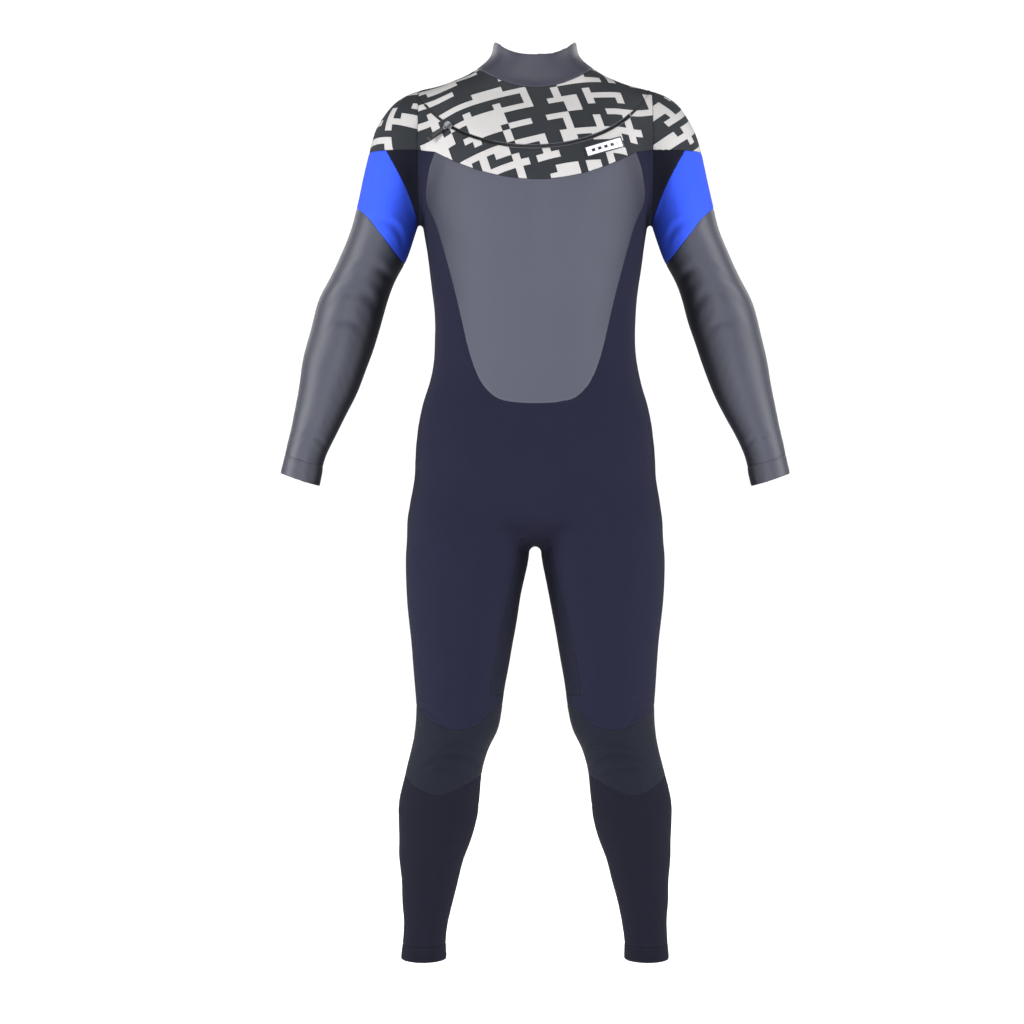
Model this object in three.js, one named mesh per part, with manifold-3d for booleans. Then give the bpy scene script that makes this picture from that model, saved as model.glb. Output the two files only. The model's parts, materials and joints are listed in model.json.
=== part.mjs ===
// A full-length surf wetsuit with a chest zip, in the shape it has when it is worn: neoprene panels on a
// hollow body form, a smooth rubber collar, a printed yoke split by an arched zip, and sleeves and legs
// that bend at the elbows and knees.
//
// Millimetres. +Z is up, the front of the suit faces -Y and the wearer's left is +X.
// The origin is the middle of the neck at the height of the shoulders, where a wearer or a hanger holds it.
// The suit is drawn with heights above the ankle hems, and one group then moves it down to that origin.

import * as THREE from "three";
import { mergeVertices } from "three/addons/utils/BufferGeometryUtils.js";
import Module from "manifold-3d";

const wasm = await Module();
wasm.setup();

// ---------- Driving dimensions ----------

const suitLength = 1464; // ankle hems to the collar's highest point
const girth = 1; // width and depth against a men's medium
const wall = 4; // neoprene with its linings
const seamGap = 0.35; // between two panels at a seam
const hemHeight = 24; // turned and glued band at each ankle
const cuffHeight = 30; // turned band at each wrist
const kneeReach = 90; // from the knee's axis to the panels above and below, at the back
const elbowReach = 66; // from the elbow's axis to the sleeve above and below
const linerWall = 2; // inner neck seal and the flap behind the zip
const linerGap = 0.3;

const drawnLength = 1464; // the length that the stations and seams below are drawn for
const tall = suitLength / drawnLength;
const shoulderHeight = 1400 * tall;

// ---------- Body form ----------
// Each station is [height, centre across, centre depth, half width, depth to the front, depth to the back].

const trunkStations = [
  [662, 0, 0, 40, 20, 30],
  [680, 0, 0, 96, 56, 74],
  [705, 0, 0, 148, 82, 104],
  [740, 0, 0, 186, 95, 120],
  [790, 0, 0, 195, 100, 122],
  [835, 0, 0, 190, 101, 110],
  [880, 0, 0, 181, 100, 94],
  [920, 0, 0, 169, 98, 85],
  [965, 0, 0, 162, 98, 80],
  [1015, 0, 0, 160, 100, 83],
  [1065, 0, 0, 164, 105, 91],
  [1120, 0, 0, 172, 113, 100],
  [1180, 0, 0, 181, 120, 108],
  [1240, 0, 0, 186, 121, 113],
  [1290, 0, 0, 188, 113, 112],
  [1330, 0, 0, 187, 98, 104],
  [1360, 0, 0, 184, 82, 92],
  [1382, 0, 0, 176, 68, 80],
  [1396, 0, 0, 150, 62, 74],
  [1407, 0, 0, 119, 61, 71],
  [1421, 0, 0, 95, 62, 69],
  [1438, 0, 0, 74, 62, 66],
  [1456, 0, 0, 67, 61, 64],
  [1500, 0, 0, 67, 61, 64],
];

const armStations = [
  [1394, 168, 6, 16, 18, 20],
  [1386, 170, 6, 34, 34, 36],
  [1372, 176, 6, 47, 47, 50],
  [1350, 186, 6, 54, 56, 60],
  [1325, 196, 6, 59, 62, 66],
  [1293, 205, 6, 60, 66, 68],
  [1245, 219, 6, 57, 64, 64],
  [1205, 231, 7, 54, 60, 60],
  [1165, 242, 8, 53, 55, 56],
  [1117, 261, 9, 54.5, 51, 52],
  [1085, 277, 10, 54, 49, 50],
  [1053, 291, 9, 55.5, 48, 50],
  [1010, 303, 3, 56, 48, 50],
  [957, 317, -10, 53.5, 46, 46],
  [905, 330, -23, 47.5, 41, 41],
  [861, 344.5, -34, 41, 35, 36],
  [829, 356, -42, 36, 31, 32],
  [800, 365, -48, 33, 28, 29],
  [770, 371, -54, 34.5, 29, 30],
  [730, 382, -62, 35, 30, 31],
];

const legStations = [
  [800, 98, 8, 82, 70, 80],
  [760, 101, 8, 94, 87, 98],
  [715, 104.5, 8, 99, 96, 108],
  [669, 107, 8, 99, 97, 104],
  [637, 109, 7, 99, 95, 95],
  [573, 114.5, 5, 90.5, 90, 84],
  [509, 116.5, 3, 82, 84, 76],
  [445, 120, 2, 74, 76, 68],
  [400, 121.5, 2, 69, 71, 61],
  [365, 126, 1, 66, 69, 56],
  [335, 136, 2, 62, 66, 55],
  [300, 146, 4, 61.5, 62, 60],
  [253, 153.5, 8, 64.5, 58, 66],
  [221, 156, 10, 63, 56, 68],
  [189, 160, 11, 58, 53, 64],
  [157, 166, 10, 52, 48, 57],
  [125, 168.5, 9, 46.5, 44, 50],
  [93, 172.5, 8, 41.5, 42, 44],
  [61, 174.5, 7, 36.5, 40, 40],
  [29, 177, 6, 35, 40, 40],
  [0, 178, 5, 37, 42, 42],
  [-30, 178.5, 5, 38, 42, 42],
];

const spineOf = (rows) =>
  new THREE.CatmullRomCurve3(
    rows.map(([z, x, y]) => new THREE.Vector3(x * girth, y * girth, z * tall)),
    false,
    "catmullrom",
  );

const sizeOf = (rows) =>
  new THREE.CatmullRomCurve3(
    rows.map(([, , , a, f, b]) => new THREE.Vector3(a * girth, f * girth, b * girth)),
    false,
    "catmullrom",
  );

// The closed surface through the stations: rings of one superellipse each, with a flat fan at both ends.
function loft(rows, sides, stepsPerStation, squareness) {
  const spine = spineOf(rows);
  const size = sizeOf(rows);
  const rings = (rows.length - 1) * stepsPerStation;
  const positions = [];
  const index = [];
  for (let ring = 0; ring <= rings; ring++) {
    const centre = spine.getPoint(ring / rings);
    const half = size.getPoint(ring / rings);
    for (let side = 0; side < sides; side++) {
      const angle = (2 * Math.PI * side) / sides;
      const across = Math.sign(Math.cos(angle)) * Math.abs(Math.cos(angle)) ** (2 / squareness);
      const deep = Math.sign(Math.sin(angle)) * Math.abs(Math.sin(angle)) ** (2 / squareness);
      const depth = deep < 0 ? half.y : half.z;
      positions.push(centre.x + across * half.x, centre.y + deep * depth, centre.z);
    }
  }
  const corner = (ring, side) => ring * sides + (side % sides);
  const ends = [0, 1].map((end) => {
    const centre = spine.getPoint(end);
    positions.push(centre.x, centre.y, centre.z);
    return (rings + 1) * sides + end;
  });
  for (let side = 0; side < sides; side++) {
    for (let ring = 0; ring < rings; ring++) {
      const [a, b] = [corner(ring, side), corner(ring, side + 1)];
      const [c, d] = [corner(ring + 1, side + 1), corner(ring + 1, side)];
      index.push(a, b, c, a, c, d);
    }
    index.push(ends[0], corner(0, side + 1), corner(0, side));
    index.push(ends[1], corner(rings, side), corner(rings, side + 1));
  }
  const geometry = new THREE.BufferGeometry();
  geometry.setAttribute("position", new THREE.Float32BufferAttribute(positions, 3));
  geometry.setIndex(index);
  return geometry;
}

// ---------- Solids ----------

function solid(geometry) {
  const bare = new THREE.BufferGeometry();
  bare.setAttribute("position", geometry.getAttribute("position").clone());
  bare.setIndex(geometry.getIndex());
  const merged = mergeVertices(bare, 1e-3);
  const made = new wasm.Manifold(
    new wasm.Mesh({
      numProp: 3,
      vertProperties: merged.attributes.position.array,
      triVerts: new Uint32Array(merged.index.array),
    }),
  );
  if (made.volume() > 0) return made;
  const turned = new Uint32Array(merged.index.array).map((_, i, all) => all[i - (i % 3) + 2 - (i % 3)]);
  return new wasm.Manifold(
    new wasm.Mesh({ numProp: 3, vertProperties: merged.attributes.position.array, triVerts: turned }),
  );
}

// The same surface moved inwards along its own normals.
function inset(geometry, distance) {
  const moved = geometry.clone();
  moved.computeVertexNormals();
  const place = moved.getAttribute("position");
  const normal = moved.getAttribute("normal");
  const inwards = solidTurnsOut(geometry) ? -distance : distance;
  for (let i = 0; i < place.count; i++) {
    place.setXYZ(
      i,
      place.getX(i) + inwards * normal.getX(i),
      place.getY(i) + inwards * normal.getY(i),
      place.getZ(i) + inwards * normal.getZ(i),
    );
  }
  return moved;
}

// True where the faces of a closed geometry point out, which is where its signed volume is positive.
function solidTurnsOut(geometry) {
  const place = geometry.getAttribute("position");
  const index = geometry.getIndex().array;
  const [a, b, c] = [new THREE.Vector3(), new THREE.Vector3(), new THREE.Vector3()];
  let volume = 0;
  for (let i = 0; i < index.length; i += 3) {
    a.fromBufferAttribute(place, index[i]);
    b.fromBufferAttribute(place, index[i + 1]);
    c.fromBufferAttribute(place, index[i + 2]);
    volume += a.dot(b.cross(c));
  }
  return volume > 0;
}

const mirrored = (shape) => shape.mirror([1, 0, 0]);
const joined = (shapes) => shapes.reduce((all, next) => all.add(next));

const trunkForm = loft(trunkStations, 20, 1, 2.2);
const armForm = loft(armStations, 12, 1, 2);
const legForm = loft(legStations, 14, 1, 2);

// The whole form at a distance inside the outer skin.
function formAt(depth) {
  const [trunk, arm, leg] = [trunkForm, armForm, legForm].map((form) => solid(inset(form, depth)));
  return joined([trunk, arm, mirrored(arm), leg, mirrored(leg)]);
}

const outerForm = formAt(0);
const suit = outerForm.subtract(formAt(wall));

// ---------- Regions ----------
// A region is a flat outline pushed straight through the suit. Its seam edge is drawn once, and each side
// of the seam starts half a gap away from it.

const far = 900; // past the suit on every side

const at = (x, z) => new THREE.Vector2(x * girth, z * tall);

// Moves an open line to its left by a distance.
function beside(line, distance) {
  return line.map((point, i) => {
    const before = line[Math.max(i - 1, 0)];
    const after = line[Math.min(i + 1, line.length - 1)];
    const along = after.clone().sub(before).normalize();
    return new THREE.Vector2(point.x - along.y * distance, point.y + along.x * distance);
  });
}

// Pushes an outline in the front view, X across and Z up, through from front to back.
function throughDepth(outline, from = -far, to = far) {
  const geometry = new THREE.ExtrudeGeometry(new THREE.Shape(outline), {
    depth: to - from,
    bevelEnabled: false,
  });
  geometry.rotateX(Math.PI / 2);
  geometry.translate(0, to, 0);
  return solid(geometry);
}

// Pushes an outline in the side view, Y across and Z up, through from side to side.
function throughWidth(outline) {
  const geometry = new THREE.ExtrudeGeometry(new THREE.Shape(outline), {
    depth: 2 * far,
    bevelEnabled: false,
  });
  geometry.rotateX(Math.PI / 2);
  geometry.rotateZ(Math.PI / 2);
  geometry.translate(-far, 0, 0);
  return solid(geometry);
}

const top = suitLength + far;
const bottom = -far;

// What lies above or below a seam that runs from left to right in the front view.
function seamSide(seam, distance, edge) {
  const line = beside(seam, distance);
  const corners = [line.at(-1), line[0]].map((point) => new THREE.Vector2(point.x, edge));
  return throughDepth([...line, ...corners]);
}

const above = (seam) => seamSide(seam, seamGap / 2, top);
const below = (seam) => seamSide(seam, -seamGap / 2, bottom);

const levelLine = (height) => [new THREE.Vector2(-far, height), new THREE.Vector2(far, height)];

function box(low, high) {
  const geometry = new THREE.BoxGeometry(high[0] - low[0], high[1] - low[1], high[2] - low[2]);
  geometry.translate((low[0] + high[0]) / 2, (low[1] + high[1]) / 2, (low[2] + high[2]) / 2);
  return solid(geometry);
}

const frontOf = (depth) => box([-far, -far, bottom], [far, depth - seamGap / 2, top]);
const backOf = (depth) => box([-far, depth + seamGap / 2, bottom], [far, far, top]);

// ---------- Seams of the trunk ----------

const armholeAcross = 186 * girth;
const armpitHeight = 1189 * tall;
const shoulderSeamDepth = 14 * girth;
const sideSeamDepth = 0;

// The collar's foot: low at the throat, high at the sides of the neck.
const collarFoot = new THREE.QuadraticBezierCurve(at(-150, 1475), at(0, 1297), at(150, 1475)).getPoints(10);
const collarSeam = [at(-far, 1475), ...collarFoot, at(far, 1475)];

// The lower edge of the printed yoke: a shallow scoop over the chest, level out to the armholes and arms.
const yokeScoop = new THREE.QuadraticBezierCurve(at(-159, 1284), at(0, 1190), at(159, 1284)).getPoints(10);
const yokeSeam = [at(-far, 1288), at(-186, 1288), ...yokeScoop, at(186, 1288), at(far, 1288)];

// The chest panel's sides and rounded foot, from its top left corner round to its top right.
const shieldHalf = [
  [159, 1284],
  [169, 1253],
  [173, 1208],
  [156, 1166],
  [136, 1096],
  [122, 1042],
  [107, 978],
  [94, 938],
  [78, 911],
  [52, 893],
];
const shieldLine = [...shieldHalf.map(([x, z]) => [-x, z]), [0, 888], ...shieldHalf.toReversed()];
const shieldSeam = new THREE.SplineCurve(shieldLine.map(([x, z]) => at(x, z))).getPoints(26);

const waistSeam = levelLine(872 * tall);
const hipSeam = levelLine(690 * tall);
const seatSeam = levelLine(905 * tall);

// The collar's upper rim, in the side view: low at the throat, level from the ears back.
const rimLine = new THREE.SplineCurve(
  [
    [-90, 1424],
    [-61, 1430],
    [-28, 1449],
    [5, 1462],
    [40, 1464],
    [90, 1464],
  ].map(([y, z]) => at(y, z)),
).getPoints(20);
const underRim = throughWidth([
  ...rimLine,
  new THREE.Vector2(far, rimLine.at(-1).y),
  new THREE.Vector2(far, bottom),
  new THREE.Vector2(-far, bottom),
  new THREE.Vector2(-far, rimLine[0].y),
]);

// The sleeves lie outside a line that drops down the armhole and then runs clear of the hips.
const armholeFoot = armpitHeight - 39 * tall;
const armZone = throughDepth([
  new THREE.Vector2(armholeAcross + seamGap / 2, top),
  new THREE.Vector2(armholeAcross + seamGap / 2, armholeFoot),
  at(290, 700),
  new THREE.Vector2(far, 700 * tall),
  new THREE.Vector2(far, top),
]);
const trunkZone = throughDepth([
  new THREE.Vector2(armholeAcross - seamGap / 2, top),
  new THREE.Vector2(armholeAcross - seamGap / 2, armholeFoot),
  at(288, 700),
  at(288, -100),
  at(-288, -100),
  at(-288, 700),
  new THREE.Vector2(-armholeAcross + seamGap / 2, armholeFoot),
  new THREE.Vector2(-armholeAcross + seamGap / 2, top),
]);

const trunk = suit.intersect(trunkZone);
const torso = trunk.intersect(above(hipSeam)).intersect(underRim);

// ---------- The zip's arc ----------
// The zip lies on one flat circle round the foot of the neck, through three points of the chest.

const chestPoint = (x, z) => {
  const needle = box([x - 0.1, -far, z - 0.1], [x + 0.1, 0, z + 0.1]);
  return new THREE.Vector3(x, outerForm.intersect(needle).boundingBox().min[1], z);
};

const zipStart = chestPoint(-142 * girth, 1329 * tall); // closed end, over the wearer's right breast
const zipMiddle = chestPoint(0, 1288 * tall);
const zipEnd = chestPoint(150 * girth, 1343 * tall); // open end, at the left shoulder

function circleThrough(a, b, c) {
  const ab = b.clone().sub(a);
  const ac = c.clone().sub(a);
  const normal = ab.clone().cross(ac);
  const toCentre = normal.clone().cross(ab).multiplyScalar(ac.lengthSq());
  toCentre.add(ac.clone().cross(normal).multiplyScalar(ab.lengthSq()));
  toCentre.divideScalar(2 * normal.lengthSq());
  return { centre: a.clone().add(toCentre), axis: normal.normalize(), radius: toCentre.length() };
}

const zip = circleThrough(zipStart, zipMiddle, zipEnd);
if (zip.axis.z < 0) zip.axis.negate();

// The zip's own frame: X out to the middle of the arc, Z along the axis, Y round towards the open end.
const zipOut = zipMiddle.clone().sub(zip.centre).normalize();
const zipRound = zip.axis.clone().cross(zipOut);
const zipFrame = new THREE.Matrix4().makeBasis(zipOut, zipRound, zip.axis).setPosition(zip.centre);
const angleOf = (point) => {
  const local = point.clone().applyMatrix4(zipFrame.clone().invert());
  return Math.atan2(local.y, local.x);
};
const zipFrom = angleOf(zipStart);
const zipTo = angleOf(zipEnd);

const zipLean = THREE.MathUtils.degToRad(55); // how far the chest leans back from the circle's own plane

// A ring round the zip's axis. The section is drawn with U down the chest and V out from it.
function ring(section, from, to) {
  const turned = section.map(
    ([u, v]) =>
      new THREE.Vector2(
        zip.radius + v * Math.cos(zipLean) + u * Math.sin(zipLean),
        v * Math.sin(zipLean) - u * Math.cos(zipLean),
      ),
  );
  const lathe = new THREE.LatheGeometry([...turned, turned[0]], 60);
  lathe.rotateX(Math.PI / 2);
  const whole = solid(lathe);
  if (from === undefined) return whole.transform(zipFrame.toArray());
  const reach = 3 * zip.radius;
  const middle = (from + to) / 2;
  const half = (to - from) / 2;
  const corners = [-1, -0.5, 0, 0.5, 1].map(
    (share) => new THREE.Vector2(reach, 0).rotateAround(new THREE.Vector2(), middle + share * half),
  );
  const wedge = new THREE.ExtrudeGeometry(new THREE.Shape([new THREE.Vector2(), ...corners]), {
    depth: 2 * far,
    bevelEnabled: false,
  });
  wedge.translate(0, 0, -far);
  return whole.intersect(solid(wedge)).transform(zipFrame.toArray());
}

const rectangle = (u0, u1, v0, v1) => [
  [u0, v0],
  [u1, v0],
  [u1, v1],
  [u0, v1],
];

const chainHalf = 3; // half the width of the closed coil
const chainHigh = 1.4; // coil in front of and behind the tapes' middle
const tapeEdge = 9; // from the chain's middle to each tape's sewn edge
const tapeThick = 1.6;
const zipClear = 0.3; // between two zip pieces, and from the tapes to the yoke
const stopLong = 2.6; // along the zip
const stopHigh = 1.5;
const sliderLong = 13;
const sliderWide = 10;
const plateThick = 1.1;
const overSlot = 30; // how far a seam's blade stands out on both sides of the skin
const pastZip = 1.2; // radians of seam from each end of the zip up to the shoulder

const turnOf = (length) => length / zip.radius; // the angle that a length along the zip takes

const slotHalf = tapeEdge + zipClear;
const slit = rectangle(-seamGap / 2, seamGap / 2, -overSlot, overSlot);
const slotSection = rectangle(-slotHalf, slotHalf, -overSlot, overSlot);
const zipSlot = joined([
  ring(slotSection, zipFrom - turnOf(zipClear), zipTo + turnOf(zipClear)),
  ring(slit, zipFrom - pastZip, zipFrom),
  ring(slit, zipTo, zipTo + pastZip),
]);

// ---------- Panels ----------

const colours = {
  navy: { color: 0x23243a, roughness: 0.85, metalness: 0 },
  black: { color: 0x1b1c26, roughness: 0.85, metalness: 0 },
  knee: { color: 0x24272f, roughness: 0.7, metalness: 0 },
  grey: { color: 0x5c5f6c, roughness: 0.45, metalness: 0 },
  print: { color: 0x8c8c8c, roughness: 0.85, metalness: 0 },
  blue: { color: 0x2c50f0, roughness: 0.8, metalness: 0 },
  lining: { color: 0x202126, roughness: 0.9, metalness: 0 },
  label: { color: 0xe8e8ec, roughness: 0.6, metalness: 0 },
  metal: { color: 0x8a8d92, roughness: 0.35, metalness: 0.9 },
  plastic: { color: 0x16171a, roughness: 0.4, metalness: 0 },
};

const pieces = new THREE.Group();
pieces.position.z = -shoulderHeight;

// The largest body of a solid as one named mesh. Slivers that a seam leaves behind are dropped.
function piece(name, shape, finish) {
  const bodies = shape.decompose().toSorted((a, b) => b.volume() - a.volume());
  const { vertProperties, triVerts } = bodies[0].getMesh();
  const geometry = new THREE.BufferGeometry();
  geometry.setAttribute("position", new THREE.Float32BufferAttribute(vertProperties, 3));
  geometry.setIndex([...triVerts]);
  geometry.computeVertexNormals();
  const mesh = new THREE.Mesh(geometry, new THREE.MeshStandardMaterial(colours[finish]));
  mesh.name = name;
  pieces.add(mesh);
}

// The same piece on the wearer's left, at +X, and its mirror image on the right.
function pair(name, shape, finish) {
  piece("left_" + name, shape, finish);
  piece("right_" + name, mirrored(shape), finish);
}

const collarBand = torso.intersect(above(collarSeam));
const yokeBand = torso.intersect(above(yokeSeam)).intersect(below(collarSeam));
const yokeFront = yokeBand.intersect(frontOf(shoulderSeamDepth)).subtract(zipSlot);
const yokeParts = yokeFront.decompose().toSorted((a, b) => b.volume() - a.volume());
const topOf = (shape) => shape.boundingBox().max[2];
const upperFirst = yokeParts.slice(0, 2).toSorted((a, b) => topOf(b) - topOf(a));

piece("neck_collar", collarBand, "grey");
piece("front_yoke", upperFirst[0], "print");
piece("zip_flap_yoke", upperFirst[1], "print");
piece("back_yoke", yokeBand.intersect(backOf(shoulderSeamDepth)), "print");

const underYoke = torso.intersect(below(yokeSeam));
const torsoFront = underYoke.intersect(frontOf(sideSeamDepth));
const torsoBack = underYoke.intersect(backOf(sideSeamDepth));
const shieldTop = [at(159, 1400), at(-159, 1400)];
const shieldInside = throughDepth([...beside(shieldSeam, seamGap / 2), ...shieldTop]);
const shieldOutside = throughDepth([...beside(shieldSeam, -seamGap / 2), ...shieldTop]);

piece("chest_panel", torsoFront.intersect(shieldInside), "grey");
const aroundShield = torsoFront.subtract(shieldOutside);
const leftHalf = box([0, -far, bottom], [far, far, top]);
pair("side_panel", aroundShield.intersect(above(waistSeam)).intersect(leftHalf), "navy");
piece("abdomen_panel", aroundShield.intersect(below(waistSeam)), "navy");
piece("back_panel", torsoBack.intersect(above(seatSeam)), "navy");
piece("seat_panel", torsoBack.intersect(below(seatSeam)), "navy");

// ---------- Legs ----------

const kneeHeight = 335 * tall;
const legSeamDepth = 5 * girth;
const kneeTopBack = levelLine(kneeHeight + kneeReach * tall);
const kneeFootBack = levelLine(kneeHeight - kneeReach * tall);
const kneeTop = new THREE.SplineCurve([
  at(-20, 407),
  at(50, 407),
  at(72, 398),
  at(92, 379),
  at(130, 374),
  at(165, 386),
  at(210, 416),
  at(300, 440),
]).getPoints(14);
const kneeFoot = new THREE.SplineCurve([
  at(-20, 306),
  at(60, 304),
  at(105, 286),
  at(150, 268),
  at(190, 280),
  at(230, 312),
  at(300, 330),
]).getPoints(12);

// The seam down the inside of the leg, drawn from the crotch to the knee.
const inseam = new THREE.SplineCurve([
  at(20, 760),
  at(24, 664),
  at(55, 527),
  at(68, 459),
  at(76, 382),
  at(84, 340),
]).getPoints(12);
const middleEdge = [at(-1, 340), at(-1, 760)];
const inseamInside = throughDepth([...beside(inseam, -seamGap / 2), ...middleEdge]);
const inseamOutside = throughDepth([...beside(inseam, seamGap / 2), ...middleEdge]);
const gussetSeam = levelLine(640 * tall);

const hips = trunk.intersect(below(hipSeam));
const leftHips = hips.intersect(leftHalf);
const hipFront = leftHips.intersect(frontOf(legSeamDepth));
const hipBack = leftHips.intersect(backOf(legSeamDepth));
const insideLeg = hips.intersect(inseamInside);

const gusset = joined([inseamInside, mirrored(inseamInside)]).intersect(above(gussetSeam));
piece("crotch_gusset", hips.intersect(gusset), "black");
pair("inner_leg", insideLeg.intersect(below(gussetSeam)).intersect(above(kneeTopBack)), "black");
pair("thigh_front", hipFront.subtract(inseamOutside).intersect(above(kneeTop)), "navy");
pair("thigh_back", hipBack.subtract(inseamOutside).intersect(above(kneeTopBack)), "navy");
pair("knee_pad", hipFront.intersect(below(kneeTop)).intersect(above(kneeFoot)), "knee");
pair("knee_back", hipBack.intersect(below(kneeTopBack)).intersect(above(kneeFootBack)), "navy");

const hemSeam = levelLine(hemHeight);
const hemFoot = levelLine(0);
pair("shin_front", hipFront.intersect(below(kneeFoot)).intersect(above(hemSeam)), "navy");
pair("calf_back", hipBack.intersect(below(kneeFootBack)).intersect(above(hemSeam)), "navy");
pair("ankle_hem", leftHips.intersect(below(hemSeam)).intersect(above(hemFoot)), "black");

// ---------- Sleeves ----------

const arm = suit.intersect(armZone);
const elbow = at(288, 1062);
const armAlong = at(372, 768).sub(at(237, 1181)).normalize(); // down the sleeve, in the front view
const wrist = at(371.5, 768);

// A straight seam square across the sleeve, at a distance down it from a point on its centre line.
function across(point, down) {
  const middle = point.clone().addScaledVector(armAlong, down);
  const square = new THREE.Vector2(-armAlong.y, armAlong.x);
  return [-far / 3, far / 3].map((reach) => middle.clone().addScaledVector(square, reach));
}

const underarmSeam = new THREE.SplineCurve([
  at(150, 1140),
  at(184, 1152),
  at(189, 1183),
  at(205, 1229),
  at(232, 1280),
  at(262, 1330),
]).getPoints(12);
const blueSeam = new THREE.SplineCurve([
  at(150, 1040),
  at(211, 1112),
  at(246, 1157),
  at(284, 1198),
  at(420, 1292),
]).getPoints(12);

const beyondUnderarm = throughDepth([
  ...beside(underarmSeam, -seamGap / 2),
  at(far, 1330),
  at(far, 900),
  at(150, 900),
]);
const insideUnderarm = throughDepth([...beside(underarmSeam, seamGap / 2), at(150, 1330)]);
const underYokeArm = arm.intersect(below(yokeSeam));

pair("sleeve_head", arm.intersect(above(yokeSeam)), "print");
pair("underarm_panel", underYokeArm.intersect(insideUnderarm), "black");
pair("blue_arm_panel", underYokeArm.intersect(beyondUnderarm).intersect(above(blueSeam)), "blue");
const smoothSleeve = arm.intersect(below(blueSeam));
pair("upper_sleeve", smoothSleeve.intersect(above(across(elbow, -elbowReach))), "grey");
const underElbow = smoothSleeve.intersect(below(across(elbow, -elbowReach)));
pair("elbow_sleeve", underElbow.intersect(above(across(elbow, elbowReach))), "grey");
const forearm = underElbow.intersect(below(across(elbow, elbowReach)));
pair("forearm_sleeve", forearm.intersect(above(across(wrist, -cuffHeight))), "grey");
const overWrist = forearm.intersect(above(across(wrist, 0)));
pair("wrist_cuff", overWrist.intersect(below(across(wrist, -cuffHeight))), "grey");

// ---------- Inside the collar and behind the zip ----------

const linerOut = wall + linerGap;
const lining = formAt(linerOut).subtract(formAt(linerOut + linerWall));
const sealFoot = 1418 * tall;
const sealTop = 1442 * tall;
const flapAbove = 24; // the storm flap reaches further up than down, so that water drains off it
const flapBelow = 30;
const underSealTop = box([-far, -far, bottom], [far, far, sealTop]);
const seal = lining.intersect(above(levelLine(sealFoot))).intersect(underRim).intersect(underSealTop);
piece("inner_neck_seal", seal, "lining");
const flapBand = ring(rectangle(-flapAbove, flapBelow, -overSlot, overSlot), zipFrom, zipTo);
const flap = lining.intersect(trunkZone).intersect(frontOf(0)).intersect(flapBand);
piece("storm_flap", flap, "lining");

// ---------- Blank label ----------

const labelWide = 62;
const labelHigh = 18;
const labelLean = THREE.MathUtils.degToRad(18);
const labelThick = 0.6;
const labelMiddle = at(107, 1289);
const labelOutline = rectangle(-labelWide / 2, labelWide / 2, -labelHigh / 2, labelHigh / 2).map(([x, z]) =>
  new THREE.Vector2(x, z).rotateAround(new THREE.Vector2(), labelLean).add(labelMiddle),
);
const overSkin = formAt(-seamGap - labelThick).subtract(formAt(-seamGap));
piece("chest_label", overSkin.intersect(throughDepth(labelOutline, -far, 0)), "label");

// ---------- Zip ----------

const sliderAt = zipFrom + turnOf(stopLong + zipClear + sliderLong / 2);
const bridgeLong = 3; // the slider's wedge, ahead of the closed coil
const chainFrom = sliderAt - turnOf(sliderLong / 2 - bridgeLong - zipClear);
const tapeInner = chainHalf + zipClear;
const tape = rectangle(tapeInner, tapeEdge, -tapeThick / 2, tapeThick / 2);
const otherSide = (section) => section.map(([u, v]) => [-u, v]).toReversed();

piece("zip_tape_upper", ring(otherSide(tape), zipFrom, zipTo), "lining");
piece("zip_tape_lower", ring(tape, zipFrom, zipTo), "lining");
const chain = rectangle(-chainHalf, chainHalf, -chainHigh, chainHigh);
piece("zip_chain", ring(chain, chainFrom, zipTo - turnOf(stopLong + zipClear)), "plastic");
const stop = rectangle(zipClear, chainHalf, -stopHigh, stopHigh);
piece("zip_top_stop_upper", ring(otherSide(stop), zipFrom, zipFrom + turnOf(stopLong)), "metal");
piece("zip_top_stop_lower", ring(stop, zipFrom, zipFrom + turnOf(stopLong)), "metal");
const wideStop = rectangle(-chainHalf, chainHalf, -stopHigh, stopHigh);
piece("zip_bottom_stop", ring(wideStop, zipTo - turnOf(stopLong), zipTo), "metal");

// The slider is drawn flat: X along the zip to its open end, Y up the chest, Z out of it.
const outwards = new THREE.Vector3(Math.cos(sliderAt), Math.sin(sliderAt), 0);
const along = new THREE.Vector3(-Math.sin(sliderAt), Math.cos(sliderAt), 0);
const offChest = outwards.clone().multiplyScalar(Math.cos(zipLean)).setZ(Math.sin(zipLean));
const sliderFrame = new THREE.Matrix4()
  .makeBasis(along, offChest.clone().cross(along), offChest)
  .setPosition(outwards.clone().multiplyScalar(zip.radius))
  .premultiply(zipFrame);

function block(x0, x1, y0, y1, z0, z1) {
  return box([x0, y0, z0], [x1, y1, z1]);
}

const plateFoot = chainHigh + zipClear;
const plateTop = plateFoot + plateThick;
const railIn = tapeInner + zipClear;
const noseLong = 4; // the plates narrow over this length behind the wedge
const noseCut = 2; // taken off each corner of the nose
const bridgeHalf = 1.6;

// One of the slider's two plates, with its corners cut where it narrows behind the wedge.
function plate(z0) {
  const [x, y] = [sliderLong / 2, sliderWide / 2];
  const outline = [
    [-x, -y],
    [x - noseLong, -y],
    [x, noseCut - y],
    [x, y - noseCut],
    [x - noseLong, y],
    [-x, y],
  ];
  const geometry = new THREE.ExtrudeGeometry(
    new THREE.Shape(outline.map(([px, py]) => new THREE.Vector2(px, py))),
    { depth: plateThick, bevelEnabled: false },
  );
  geometry.translate(0, 0, z0);
  return solid(geometry);
}

function rails(side) {
  const tapeFree = tapeThick / 2 + zipClear;
  const y = [side * railIn, side * sliderWide / 2].toSorted((a, b) => a - b);
  return joined([
    block(-sliderLong / 2, sliderLong / 2 - noseLong, y[0], y[1], tapeFree, plateFoot),
    block(-sliderLong / 2, sliderLong / 2 - noseLong, y[0], y[1], -plateFoot, -tapeFree),
  ]);
}

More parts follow.
